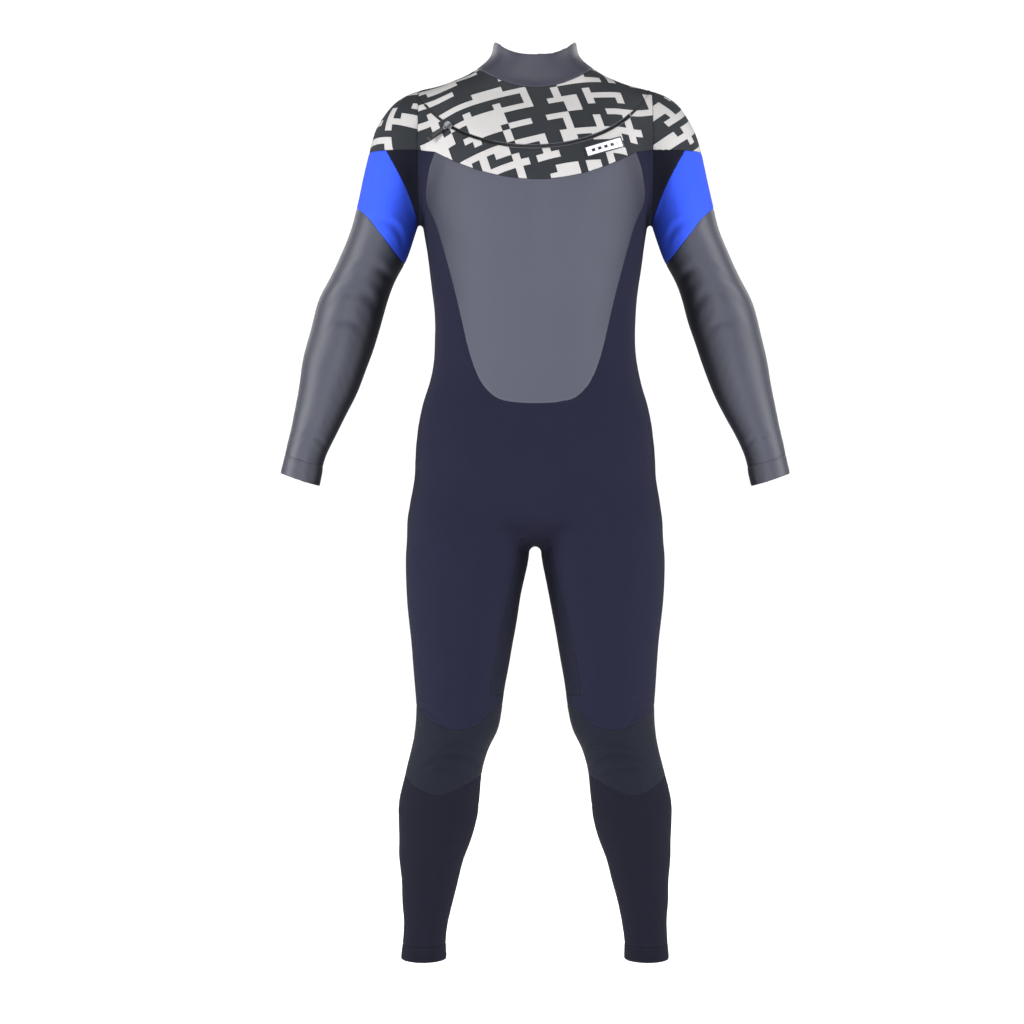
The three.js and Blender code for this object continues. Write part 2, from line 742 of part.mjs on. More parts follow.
// The pull hangs from an eye on the slider, turned down the chest from the zip's own line.
const pullTurn = THREE.MathUtils.degToRad(-113);
const eyeHalf = 4;
const eyeWall = 1.5;
const eyeThick = 2.5;
const eyeHigh = 3.4;
const eyeRoof = 1.1;
const loopBar = 1.3;
const loopClear = 0.35; // under the loop's bar, in the eye
const pullFrame = sliderFrame.clone().multiply(new THREE.Matrix4().makeRotationZ(pullTurn));

const eyeHole = eyeHalf - eyeWall;
const eye = block(-eyeHalf, eyeHalf, -eyeThick / 2, eyeThick / 2, plateTop, plateTop + eyeHigh).subtract(
  block(-eyeHole, eyeHole, -eyeThick, eyeThick, plateTop, plateTop + eyeHigh - eyeRoof),
);
const turnEye = new THREE.Matrix4().makeRotationZ(pullTurn);
const slider = joined([
  plate(plateFoot),
  plate(-plateTop),
  rails(1),
  rails(-1),
  block(-sliderLong / 2, -sliderLong / 2 + bridgeLong, -bridgeHalf, bridgeHalf, -plateFoot, plateFoot),
  eye.transform(turnEye.toArray()),
]);
piece("zip_slider", slider.transform(sliderFrame.toArray()), "metal");

// The pull lies along X from the hinge line, which runs through the eye.
const hingeHigh = plateTop + loopClear + loopBar / 2;
const loopLong = 9;
const loopHalf = 3.6;
const pullLong = 27;
const pullWide = 5;
const pullThick = 2.4;
const knobSize = 4.4;
const loop = block(-loopBar / 2, loopLong, -loopHalf, loopHalf, -loopBar / 2, loopBar / 2).subtract(
  block(loopBar / 2, loopLong - loopBar, -loopHalf + loopBar, loopHalf - loopBar, -loopBar, loopBar));
const pullRest = new THREE.Matrix4().makeTranslation(0, 0, hingeHigh);
const hang = (shape) => shape.transform(pullFrame.clone().multiply(pullRest).toArray());
piece("pull_loop", hang(loop), "metal");

const knob = new THREE.SphereGeometry(knobSize, 14, 8);
knob.scale(1, 1, 0.75);
knob.translate(loopLong + pullLong, 0, 0);
const [pullHalf, pullHigh] = [pullWide / 2, pullThick / 2];
const strip = block(loopLong + zipClear, loopLong + pullLong, -pullHalf, pullHalf, -pullHigh, pullHigh);
piece("zip_pull", hang(joined([strip, solid(knob)])), "plastic");

export default pieces;
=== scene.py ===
import json
import math

import bpy
import numpy as np
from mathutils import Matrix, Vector, bvhtree, kdtree


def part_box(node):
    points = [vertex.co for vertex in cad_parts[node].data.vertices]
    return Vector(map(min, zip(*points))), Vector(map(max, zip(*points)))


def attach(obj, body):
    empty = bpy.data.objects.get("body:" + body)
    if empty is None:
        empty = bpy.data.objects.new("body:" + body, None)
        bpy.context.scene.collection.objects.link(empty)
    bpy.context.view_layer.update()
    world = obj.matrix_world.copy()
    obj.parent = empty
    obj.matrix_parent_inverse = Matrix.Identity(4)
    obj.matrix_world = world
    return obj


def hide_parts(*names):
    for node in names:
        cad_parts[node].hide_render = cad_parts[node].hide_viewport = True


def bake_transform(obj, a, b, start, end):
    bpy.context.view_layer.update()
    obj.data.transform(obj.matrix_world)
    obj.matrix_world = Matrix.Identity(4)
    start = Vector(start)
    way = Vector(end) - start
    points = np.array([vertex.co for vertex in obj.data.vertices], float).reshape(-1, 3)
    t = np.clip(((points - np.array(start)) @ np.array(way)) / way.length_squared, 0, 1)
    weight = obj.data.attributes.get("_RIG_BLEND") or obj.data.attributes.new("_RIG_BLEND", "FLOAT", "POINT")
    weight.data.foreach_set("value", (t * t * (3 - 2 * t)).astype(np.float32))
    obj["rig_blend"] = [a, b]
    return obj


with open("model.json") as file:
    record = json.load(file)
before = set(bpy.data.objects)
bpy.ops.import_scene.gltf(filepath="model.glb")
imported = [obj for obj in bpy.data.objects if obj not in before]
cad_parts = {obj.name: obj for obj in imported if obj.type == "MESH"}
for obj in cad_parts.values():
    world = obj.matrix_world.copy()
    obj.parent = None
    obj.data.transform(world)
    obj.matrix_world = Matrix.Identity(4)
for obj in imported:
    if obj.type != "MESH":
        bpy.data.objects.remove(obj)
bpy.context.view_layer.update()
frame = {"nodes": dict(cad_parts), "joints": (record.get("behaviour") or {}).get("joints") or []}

# ---------------------------------------------------------------- camera and light
# A long lens at the height of the waist looks straight at the front of the suit. Big soft lights stand
# at both sides and above, and floor and backdrop are plain and pale.

SHOULDER = 1.400  # the row's origin above the ankle hems

camera = bpy.data.objects.new("camera", bpy.data.cameras.new("camera"))
bpy.context.scene.collection.objects.link(camera)
camera.location = (-0.037, -4.2, -0.50)
camera.rotation_euler = (math.radians(90), 0, 0)
camera.data.lens = 92.3
camera.data.sensor_width = 36
camera.data.shift_y = -0.1136
bpy.context.scene.camera = camera
bpy.context.scene.view_settings.view_transform = "Standard"

world = bpy.data.worlds.new("studio")
world.use_nodes = True
sky = world.node_tree
direction = sky.nodes.new("ShaderNodeTexCoord")
parts = sky.nodes.new("ShaderNodeSeparateXYZ")
glow = sky.nodes.new("ShaderNodeMapRange")
glow.interpolation_type = "SMOOTHSTEP"
for key, value in (("From Min", 0.86), ("From Max", 0.955), ("To Min", 0.20), ("To Max", 1.06)):
    glow.inputs[key].default_value = value
sky.links.new(direction.outputs["Generated"], parts.inputs[0])
sky.links.new(parts.outputs["Y"], glow.inputs["Value"])
sky.nodes["Background"].inputs["Color"].default_value = (1, 1, 1, 1)
sky.links.new(glow.outputs["Result"], sky.nodes["Background"].inputs["Strength"])
bpy.context.scene.world = world


def soft_light(name, place, size, power):
    data = bpy.data.lights.new(name, "AREA")
    data.shape = "RECTANGLE"
    data.size, data.size_y = size
    data.energy = power
    light = bpy.data.objects.new(name, data)
    bpy.context.scene.collection.objects.link(light)
    light.location = place
    light.rotation_euler = (Vector((0, 0, -0.5)) - Vector(place)).to_track_quat("-Z", "Y").to_euler()


soft_light("key", (-3.0, -1.0, 0.3), (0.9, 2.2), 125)
soft_light("fill", (3.0, -1.0, 0.3), (0.9, 2.2), 115)
soft_light("front", (-0.3, -4.8, 0.9), (1.4, 1.4), 92)
soft_light("back_left", (-2.2, 2.4, 0.9), (1.0, 2.0), 40)
soft_light("back_right", (2.2, 2.4, 0.9), (1.0, 2.0), 40)

paper = bpy.data.materials.new("studio_paper")
paper.use_nodes = True
for key, value in (("Base Color", (0.93, 0.93, 0.93, 1)), ("Roughness", 0.95), ("Emission Color", (1, 1, 1, 1)),
                   ("Emission Strength", 0.55)):
    paper.node_tree.nodes["Principled BSDF"].inputs[key].default_value = value
bpy.ops.mesh.primitive_circle_add(vertices=96, radius=3, fill_type="NGON", location=(0, 0, -SHOULDER - 0.03))
floor = bpy.context.object
floor.name = "floor"
floor.data.materials.append(paper)

# ---------------------------------------------------------------- worn body form
# Neoprene is cut and glued into a hollow copy of the wearer's body. The form is lofted from the same
# stations as the part: height above the hems, centre, half width, and depth to the front and the back.

trunk_rows = [
    (0.668, 0, 0, 0.040, 0.020, 0.030), (0.684, 0, 0, 0.096, 0.056, 0.074),
    (0.705, 0, 0, 0.148, 0.082, 0.104), (0.740, 0, 0, 0.186, 0.095, 0.120),
    (0.790, 0, 0, 0.195, 0.100, 0.122), (0.835, 0, 0, 0.190, 0.101, 0.110),
    (0.880, 0, 0, 0.181, 0.100, 0.094), (0.920, 0, 0, 0.169, 0.098, 0.085),
    (0.965, 0, 0, 0.162, 0.098, 0.080), (1.015, 0, 0, 0.160, 0.100, 0.083),
    (1.065, 0, 0, 0.164, 0.105, 0.091), (1.120, 0, 0, 0.172, 0.113, 0.100),
    (1.180, 0, 0, 0.181, 0.120, 0.108), (1.240, 0, 0, 0.186, 0.121, 0.113),
    (1.290, 0, 0, 0.188, 0.113, 0.112), (1.330, 0, 0, 0.187, 0.098, 0.104),
    (1.360, 0, 0, 0.184, 0.082, 0.092), (1.382, 0, 0, 0.176, 0.068, 0.080),
    (1.396, 0, 0, 0.150, 0.062, 0.074), (1.407, 0, 0, 0.119, 0.061, 0.071),
    (1.421, 0, 0, 0.095, 0.062, 0.069), (1.438, 0, 0, 0.074, 0.062, 0.066),
    (1.456, 0, 0, 0.067, 0.061, 0.064), (1.500, 0, 0, 0.067, 0.061, 0.064),
]
arm_rows = [
    (1.394, 0.168, 0.006, 0.016, 0.018, 0.020), (1.386, 0.170, 0.006, 0.034, 0.034, 0.036),
    (1.372, 0.176, 0.006, 0.047, 0.047, 0.050), (1.350, 0.186, 0.006, 0.054, 0.056, 0.060),
    (1.325, 0.196, 0.006, 0.059, 0.062, 0.066), (1.293, 0.205, 0.006, 0.060, 0.066, 0.068),
    (1.245, 0.219, 0.006, 0.057, 0.064, 0.064), (1.205, 0.231, 0.007, 0.054, 0.060, 0.060),
    (1.165, 0.242, 0.008, 0.053, 0.055, 0.056), (1.117, 0.261, 0.009, 0.0545, 0.051, 0.052),
    (1.085, 0.277, 0.010, 0.054, 0.049, 0.050), (1.053, 0.291, 0.009, 0.0555, 0.048, 0.050),
    (1.010, 0.303, 0.003, 0.056, 0.048, 0.050), (0.957, 0.317, -0.010, 0.0535, 0.046, 0.046),
    (0.905, 0.330, -0.023, 0.0475, 0.041, 0.041), (0.861, 0.3445, -0.034, 0.041, 0.035, 0.036),
    (0.829, 0.356, -0.042, 0.036, 0.031, 0.032), (0.800, 0.365, -0.048, 0.033, 0.028, 0.029),
    (0.770, 0.371, -0.054, 0.0345, 0.029, 0.030), (0.730, 0.382, -0.062, 0.035, 0.030, 0.031),
]
leg_rows = [
    (0.800, 0.098, 0.008, 0.082, 0.070, 0.080), (0.760, 0.101, 0.008, 0.094, 0.087, 0.098),
    (0.715, 0.1045, 0.008, 0.099, 0.096, 0.108), (0.669, 0.107, 0.008, 0.099, 0.097, 0.104),
    (0.637, 0.109, 0.007, 0.099, 0.095, 0.095), (0.573, 0.1145, 0.005, 0.0905, 0.090, 0.084),
    (0.509, 0.1165, 0.003, 0.082, 0.084, 0.076), (0.445, 0.120, 0.002, 0.074, 0.076, 0.068),
    (0.400, 0.1215, 0.002, 0.069, 0.071, 0.061), (0.365, 0.126, 0.001, 0.066, 0.069, 0.056),
    (0.335, 0.136, 0.002, 0.062, 0.066, 0.055), (0.300, 0.146, 0.004, 0.0615, 0.062, 0.060),
    (0.253, 0.1535, 0.008, 0.0645, 0.058, 0.066), (0.221, 0.156, 0.010, 0.063, 0.056, 0.068),
    (0.189, 0.160, 0.011, 0.058, 0.053, 0.064), (0.157, 0.166, 0.010, 0.052, 0.048, 0.057),
    (0.125, 0.1685, 0.009, 0.0465, 0.044, 0.050), (0.093, 0.1725, 0.008, 0.0415, 0.042, 0.044),
    (0.061, 0.1745, 0.007, 0.0365, 0.040, 0.040), (0.029, 0.177, 0.006, 0.035, 0.040, 0.040),
    (0.000, 0.178, 0.005, 0.037, 0.042, 0.042), (-0.030, 0.1785, 0.005, 0.038, 0.042, 0.042),
]


def eased(rows, steps):
    rows = np.array(rows, float)
    ends = np.vstack([2 * rows[0] - rows[1], rows, 2 * rows[-1] - rows[-2]])
    made = []
    for p0, p1, p2, p3 in zip(ends, ends[1:], ends[2:], ends[3:]):
        for t in np.arange(steps) / steps:
            slope = (p2 - p0) * t + (2 * p0 - 5 * p1 + 4 * p2 - p3) * t**2
            made.append(p1 + (slope + (3 * p1 - p0 - 3 * p2 + p3) * t**3) / 2)
    return np.vstack(made + [rows[-1:]])


def mesh_object(name, points, faces):
    mesh = bpy.data.meshes.new(name)
    mesh.from_pydata(points, [], faces)
    made = bpy.data.objects.new(name, mesh)
    bpy.context.scene.collection.objects.link(made)
    return made


def select_only(*chosen):
    bpy.ops.object.select_all(action="DESELECT")
    for one in chosen:
        one.select_set(True)
    bpy.context.view_layer.objects.active = chosen[0]


def face_outward(*chosen):
    select_only(*chosen)
    bpy.ops.object.mode_set(mode="EDIT")
    bpy.ops.mesh.select_all(action="SELECT")
    bpy.ops.mesh.normals_make_consistent(inside=False)
    bpy.ops.object.mode_set(mode="OBJECT")


def lofted(name, rows, sides, squareness):
    """A closed tube through the stations, eased between them."""
    rows = eased(rows, 5)
    angle = np.arange(sides) * 2 * np.pi / sides
    across = np.sign(np.cos(angle)) * np.abs(np.cos(angle)) ** (2 / squareness)
    deep = np.sign(np.sin(angle)) * np.abs(np.sin(angle)) ** (2 / squareness)
    points = []
    for z, x, y, a, front, back in rows:
        depth = np.where(deep < 0, front, back)
        points += list(zip(x + across * a, y + deep * depth, np.full(sides, z - SHOULDER)))
    faces = []
    for ring in range(len(rows) - 1):
        for side in range(sides):
            a, b = ring * sides + side, ring * sides + (side + 1) % sides
            faces.append((a, b, b + sides, a + sides))
    last = (len(rows) - 1) * sides
    faces.append(tuple(reversed(range(sides))))
    faces.append(tuple(range(last, last + sides)))
    return mesh_object(name, points, faces)


def other_side(rows):
    return [(z, -x, y, a, front, back) for z, x, y, a, front, back in rows]


limbs = [lofted("body_form", trunk_rows, 120, 2.2)]
limbs += [lofted("arm", rows, 64, 2) for rows in (arm_rows, other_side(arm_rows))]
limbs += [lofted("leg", rows, 80, 2) for rows in (leg_rows, other_side(leg_rows))]
face_outward(*limbs)
bpy.ops.object.join()
form = bpy.context.object
remesh = form.modifiers.new("remesh", "REMESH")
remesh.mode = "VOXEL"
remesh.voxel_size = 0.0040
bpy.ops.object.modifier_apply(modifier="remesh")
form.modifiers.new("triangles", "TRIANGULATE")
bpy.ops.object.modifier_apply(modifier="triangles")

skin_points = np.empty(len(form.data.vertices) * 3)
form.data.vertices.foreach_get("co", skin_points)
skin_points = skin_points.reshape(-1, 3) + (0, 0, SHOULDER)
skin_faces = np.empty(len(form.data.polygons) * 3, int)
form.data.polygons.foreach_get("vertices", skin_faces)
skin_faces = skin_faces.reshape(-1, 3)
bpy.data.objects.remove(form)


def edges_of(faces):
    pairs = np.sort(np.vstack([faces[:, [0, 1]], faces[:, [1, 2]], faces[:, [2, 0]]]), axis=1)
    return np.unique(pairs, axis=0)


def relaxed(points, faces, rounds, weight):
    pairs = edges_of(faces)
    ends = np.concatenate([pairs[:, 0], pairs[:, 1]])
    others = np.concatenate([pairs[:, 1], pairs[:, 0]])
    count = np.bincount(ends, minlength=len(points))
    for step in range(rounds):
        mean = np.stack([np.bincount(ends, points[others, i], len(points)) for i in range(3)], 1)
        mean /= np.maximum(count, 1)[:, None]
        points = points + (mean - points) * weight[:, None]
    return points


def near(points, centre, radii):
    away = ((points - centre) / radii) ** 2
    return np.clip(1.4 - away.sum(1), 0, 1)


# The voxels' steps go with a light pass. Armpits, crotch, hips and the shoulders' tops take a long one,
# so that trunk and limbs run into each other as stretched neoprene does.
skin_points = relaxed(skin_points, skin_faces, 6, np.full(len(skin_points), 0.55))
blended = np.zeros(len(skin_points))
mirror_x = np.abs(skin_points[:, 0])
folded = np.column_stack([mirror_x, skin_points[:, 1], skin_points[:, 2]])
for centre, radii in (
    ((0.186, 0.0, 1.215), (0.018, 0.090, 0.030)),
    ((0.175, 0.0, 1.330), (0.050, 0.100, 0.130)),
    ((0.0, 0.0, 0.675), (0.030, 0.110, 0.020)),
    ((0.100, 0.0, 0.770), (0.140, 0.150, 0.080)),
):
    blended = np.maximum(blended, near(folded, np.array(centre), np.array(radii)))
skin_points = relaxed(skin_points, skin_faces, 90, blended * 0.6)


def normals_of(points, faces):
    a, b, c = (points[faces[:, i]] for i in range(3))
    face = np.cross(b - a, c - a)
    total = [sum(np.bincount(faces[:, k], face[:, i], len(points)) for k in range(3)) for i in range(3)]
    total = np.stack(total, 1)
    return total / np.maximum(np.linalg.norm(total, axis=1), 1e-12)[:, None]


# ---------------------------------------------------------------- folds worn into the neoprene
# Thick rubber sheet hardly wrinkles. It bunches in a few shallow ridges in front of the knees and inside
# the elbows, and drags a little at the armpits, waist and wrists.


def crease(points, middle, along, length, width, depth):
    """A shallow groove with a low ridge on both sides, drawn as seen from the front."""
    along = np.array(along) / np.linalg.norm(along)
    away = points[:, [0, 2]] - middle
    run = away @ along
    side = away @ np.array([-along[1], along[0]])
    bend = side + 0.9 * run**2 / length * 0.5
    shape = np.exp(-((bend / width) ** 2)) - 0.55 * np.exp(-(((np.abs(bend) - 1.7 * width) / width) ** 2))
    return -depth * shape * np.exp(-((run / length) ** 4))


normal = normals_of(skin_points, skin_faces)
front = np.clip(-normal[:, 1] * 2.2, 0, 1)
rear = np.clip(normal[:, 1] * 2.2, 0, 1)
lift = np.zeros(len(skin_points))
for side in (-1, 1):
    here = skin_points * (side, 1, 1)
    for middle, along, length, width, depth in (
        ((0.120, 0.352), (1, -0.10), 0.040, 0.0050, 0.0022),
        ((0.128, 0.330), (1, 0.05), 0.046, 0.0055, 0.0032),
        ((0.134, 0.308), (1, 0.18), 0.040, 0.0050, 0.0020),
        ((0.100, 0.395), (1, -0.25), 0.034, 0.0060, 0.0010),
        ((0.165, 0.402), (1, 0.45), 0.030, 0.0055, 0.0013),
        ((0.150, 0.275), (1, 0.10), 0.036, 0.0060, 0.0009),
    ):
        lift += front * crease(here, middle, along, length, width, depth)
    for middle, along, length, width, depth in (
        ((0.262, 1.105), (1, 0.10), 0.034, 0.0085, 0.0012),
        ((0.284, 1.066), (1, 0.22), 0.034, 0.0100, 0.0016),
        ((0.300, 1.020), (1, 0.16), 0.028, 0.0090, 0.0009),
        ((0.350, 0.836), (1, 0.30), 0.024, 0.0050, 0.0008),
        ((0.226, 1.170), (1, 0.75), 0.030, 0.0060, 0.0012),
    ):
        lift += front * crease(here, middle, along, length, width, depth)
    for middle, along, length, width, depth in (
        ((0.130, 0.345), (1, 0.00), 0.044, 0.0060, 0.0024),
        ((0.128, 0.322), (1, -0.08), 0.040, 0.0055, 0.0018),
        ((0.122, 0.372), (1, 0.10), 0.036, 0.0060, 0.0014),
        ((0.096, 0.668), (1, -0.12), 0.060, 0.0080, 0.0030),
        ((0.090, 1.010), (1, 0.10), 0.050, 0.0090, 0.0016),
        ((0.100, 0.975), (1, 0.14), 0.040, 0.0080, 0.0014),
    ):
        lift += rear * crease(here, middle, along, length, width, depth)

# Long, faint swells keep the light from lying dead even on the big panels.
x, y, z = skin_points.T
lift += 0.00055 * np.sin(34 * z + 9 * np.sin(7 * x + 2)) * np.sin(17 * x + 11 * y + 1.3)
lift += 0.00035 * np.sin(71 * z + 23 * x + 1.1) * np.sin(49 * y - 31 * x)
# The chest is a little hollow down its middle, the seat is split, and the spine is a shallow channel.
lift -= 0.004 * front * np.exp(-((x / 0.020) ** 2) - ((z - 1.18) / 0.09) ** 2)
lift -= 0.009 * rear * np.exp(-((x / 0.014) ** 2) - ((z - 0.76) / 0.07) ** 2)
lift -= 0.006 * rear * np.exp(-((x / 0.022) ** 2) - ((z - 1.08) / 0.19) ** 2)
for side in (-1, 1):
    lift += 0.004 * rear * np.exp(-(((x - side * 0.085) / 0.05) ** 2) - ((z - 1.27) / 0.07) ** 2)
skin_points = skin_points + normal * lift[:, None]

# ---------------------------------------------------------------- seams
# Every seam is a line on the pattern. The skin is cut along each one, so that neighbouring panels share
# an edge exactly, as glued and blind-stitched neoprene does.


def beside(line, places):
    """Distance of each place from an open line, positive on the line's left."""
    nearest = np.full(len(places), 9.0)
    signed = np.full(len(places), 9.0)
    for p, q in zip(line, line[1:]):
        step = q - p
        t = np.clip(((places - p) @ step) / (step @ step), 0, 1)
        off = places - p - t[:, None] * step
        away = np.hypot(off[:, 0], off[:, 1])
        closer = away < nearest - 1e-9
        turn = np.sign(step[0] * off[:, 1] - step[1] * off[:, 0])
        signed = np.where(closer, away * np.where(turn == 0, 1, turn), signed)
        nearest = np.where(closer, away, nearest)
    return signed


def cut(points, faces, locked, value, where):
    """Splits the edges that cross value 0 between two points of where. Near ones slide onto it instead."""
    pairs = edges_of(faces)
    a, b = pairs[:, 0], pairs[:, 1]
    crosses = (value[a] * value[b] < 0) & where[a] & where[b]
    a, b = a[crosses], b[crosses]
    t = value[a] / (value[a] - value[b])
    for end, close in ((a, (t < 0.28) & ~locked[a]), (b, (t > 0.72) & ~locked[b])):
        place = points[a] + (points[b] - points[a]) * t[:, None]
        points[end[close]] = place[close]
        value[end[close]] = 0
        locked[end[close]] = True
    crosses = (value[pairs[:, 0]] * value[pairs[:, 1]] < 0) & where[pairs[:, 0]] & where[pairs[:, 1]]
    split = pairs[crosses]
    t = value[split[:, 0]] / (value[split[:, 0]] - value[split[:, 1]])
    t = np.clip(t, 0.02, 0.98)
    fresh = points[split[:, 0]] + (points[split[:, 1]] - points[split[:, 0]]) * t[:, None]
    number = {tuple(pair): len(points) + i for i, pair in enumerate(split)}
    points = np.vstack([points, fresh])
    locked = np.concatenate([locked, np.ones(len(fresh), bool)])
    touched = np.zeros(len(points), bool)
    touched[split.ravel()] = True
    busy = touched[faces].sum(1) >= 2
    made = []
    for face in faces[busy]:
        mids = [number.get(tuple(sorted((face[i], face[(i + 1) % 3])))) for i in range(3)]
        count = sum(m is not None for m in mids)
        if count == 0:
            made.append(tuple(face))
        elif count == 1:
            i = next(i for i in range(3) if mids[i] is not None)
            p, q, r = face[i], face[(i + 1) % 3], face[(i + 2) % 3]
            made += [(p, mids[i], r), (mids[i], q, r)]
        else:
            i = next(i for i in range(3) if mids[i] is None)
            p, q, r = face[i], face[(i + 1) % 3], face[(i + 2) % 3]
            m, n = mids[(i + 1) % 3], mids[(i + 2) % 3]
            made += [(m, r, n), (p, q, m), (p, m, n)]
    faces = np.vstack([faces[~busy], np.array(made, int).reshape(-1, 3)])
    return points, faces, locked


def curve(points, count):
    """A smooth line through the points."""
    return eased(points, max(1, count // (len(points) - 1)))


def bow(start, pull, end):
    t = np.linspace(0, 1, 24)[:, None]
    return (1 - t) ** 2 * np.array(start) + 2 * t * (1 - t) * np.array(pull) + t**2 * np.array(end)


# Lines are (x, z) from the front. Most are for one side and serve both.
collar_line = np.vstack([[-0.9, 1.475], bow((-0.150, 1.475), (0, 1.297), (0.150, 1.475)), [0.9, 1.475]])
scoop = bow((-0.159, 1.284), (0, 1.190), (0.159, 1.284))
yoke_line = np.vstack([[-0.9, 1.288], [-0.186, 1.288], scoop, [0.186, 1.288], [0.9, 1.288]])
shield_half = [(0.159, 1.284), (0.169, 1.253), (0.173, 1.208), (0.156, 1.166), (0.136, 1.096), (0.122, 1.042),
               (0.107, 0.978), (0.094, 0.938), (0.078, 0.911), (0.052, 0.893)]
shield_line = curve([(-x, z) for x, z in shield_half] + [(0, 0.888)] + shield_half[::-1], 100)
armhole_line = np.array([(0.186, 1.7), (0.186, 1.150), (0.290, 0.700), (0.290, -0.2)])
knee_top = curve([(-0.02, 0.407), (0.050, 0.407), (0.072, 0.398), (0.092, 0.379), (0.130, 0.374),
                  (0.165, 0.386), (0.210, 0.416), (0.300, 0.440)], 56)
knee_foot = curve([(-0.02, 0.306), (0.060, 0.304), (0.105, 0.286), (0.150, 0.268), (0.190, 0.280),
                   (0.230, 0.312), (0.300, 0.330)], 48)
inner_leg = curve([(0.020, 0.760), (0.024, 0.664), (0.055, 0.527), (0.068, 0.459), (0.076, 0.382),
                   (0.084, 0.340)], 40)
underarm_line = curve([(0.150, 1.140), (0.184, 1.152), (0.189, 1.183), (0.205, 1.229), (0.232, 1.280),
                       (0.262, 1.330)], 40)
blue_line = curve([(0.150, 1.040), (0.211, 1.112), (0.246, 1.157), (0.284, 1.198), (0.420, 1.292)], 40)
ARM_DOWN = np.array([0.372 - 0.237, 0.768 - 1.181])
ARM_DOWN /= np.linalg.norm(ARM_DOWN)
ELBOW = np.array([0.288, 1.062])
WRIST = np.array([0.3715, 0.768])
CUFF = 0.030
KNEE_FROM, KNEE_TO = 0.425, 0.245  # the leg bends between these heights
HEM = 0.024  # height of the ankle hem's upper seam
WAIST = 0.905  # the seam between back and seat
GUSSET, GUSSET_REAR = 0.673, 0.735  # front and rear tip of the crotch gusset
KNEE_MIDDLE = 0.34
ELBOW_REACH = 0.066  # the arm bends within this distance of the elbow
YOKE_BACK = 0.014  # depth at which the front yoke meets the back yoke on the shoulder
LEG_SIDE = 0.005  # depth of the legs' side seams

# The zip's line is a circle about its joint. "down" runs from it down the chest, "out" off the chest.
zip_joint = next(j for j in frame["joints"] if j["name"] == "zip_slider")
zip_axis = np.array(zip_joint["axis"]) / np.linalg.norm(zip_joint["axis"])
zip_middle = np.array(zip_joint["pos_m"])
zip_out = np.array((0, -1, 0)) - zip_axis * (np.array((0, -1, 0)) @ zip_axis)
zip_out /= np.linalg.norm(zip_out)
zip_round = np.cross(zip_axis, zip_out)
ZIP_LEAN = math.radians(55)


def zip_frame(points):
    """Angle along the zip, distance down the chest from it, and height off the chest, for row-frame points."""
    away = points - zip_middle
    high = away @ zip_axis
    a, b = away @ zip_out, away @ zip_round
    r = np.hypot(a, b) - ZIP_RADIUS
    down = r * math.sin(ZIP_LEAN) - high * math.cos(ZIP_LEAN)
    out = r * math.cos(ZIP_LEAN) + high * math.sin(ZIP_LEAN)
    return np.arctan2(b, a), down, out


def zip_place(angle, down, out):
    r = ZIP_RADIUS + out * math.cos(ZIP_LEAN) + down * math.sin(ZIP_LEAN)
    high = out * math.sin(ZIP_LEAN) - down * math.cos(ZIP_LEAN)
    return (zip_middle + np.multiply.outer(r * np.cos(angle), zip_out)
            + np.multiply.outer(r * np.sin(angle), zip_round) + np.multiply.outer(high, zip_axis))


def node_middle(*names):
    return np.mean([np.mean(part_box(n), axis=0) for n in names], axis=0)


def turn_of(*names):
    """Angle along the zip of the middle of these nodes."""
    return float(zip_frame(node_middle(*names)[None])[0][0])


away = node_middle("zip_bottom_stop") - zip_middle
ZIP_RADIUS = float(np.hypot(away @ zip_out, away @ zip_round))
STOP_REACH = 0.0013 / ZIP_RADIUS  # from a stop's middle to the slot's end
ZIP_TO = turn_of("zip_bottom_stop") + STOP_REACH
ZIP_FROM = turn_of("zip_top_stop_upper", "zip_top_stop_lower") - STOP_REACH
SLOT = 0.0024  # half the width of the slot

locked = np.zeros(len(skin_points), bool)


def seam(rule, mask):
    global skin_points, skin_faces, locked
    x, y, z = skin_points.T
    value = rule(x, y, z)
    skin_points, skin_faces, locked = cut(skin_points, skin_faces, locked, value, mask(x, y, z))


def keep(test):
    global skin_faces
    x, y, z = skin_points[skin_faces].mean(1).T
    skin_faces = skin_faces[test(x, y, z)]


def rim_side(x, y, z):
    """Height over the collar's rim, which dips at the front and rather less at the nape."""
    rise = np.clip(np.abs(x) / 0.064, 0, 1) ** 2.6
    nape = np.clip((y + 0.02) / 0.07, 0, 1)
    return z - 1.4385 - 0.024 * rise - 0.008 * nape * (1 - rise)


def armhole_side(x, y, z):
    return beside(armhole_line, np.column_stack([np.abs(x), z]))


def arm_run(x, z, start):
    return (np.column_stack([np.abs(x), z]) - start) @ ARM_DOWN


def zip_down(x, y, z):
    return zip_frame(np.column_stack([x, y, z - SHOULDER]))[1]


def zip_turn(x, y, z):
    return zip_frame(np.column_stack([x, y, z - SHOULDER]))[0]


def in_arm(x, y, z):
    return armhole_side(x, y, z) > -0.004


def in_trunk(x, y, z):
    return armhole_side(x, y, z) < 0.004


def front_line(line):
    return lambda x, y, z: beside(line, np.column_stack([np.abs(x), z]))


def at_height(level):
    return lambda x, y, z: z - level


def at_depth(level):
    return lambda x, y, z: y - level


def whole_line(line):
    return lambda x, y, z: beside(line, np.column_stack([x, z]))


def within(x=(-9, 9), y=(-9, 9), z=(-9, 9)):
    """A box to cut in, with x taken from the middle plane."""
    return lambda px, py, pz: ((np.abs(px) > x[0]) & (np.abs(px) < x[1]) & (py > y[0]) & (py < y[1])
                               & (pz > z[0]) & (pz < z[1]))


def both(one, other):
    return lambda x, y, z: one(x, y, z) & other(x, y, z)


def wrist_run(x, y, z):
    return arm_run(x, z, WRIST)


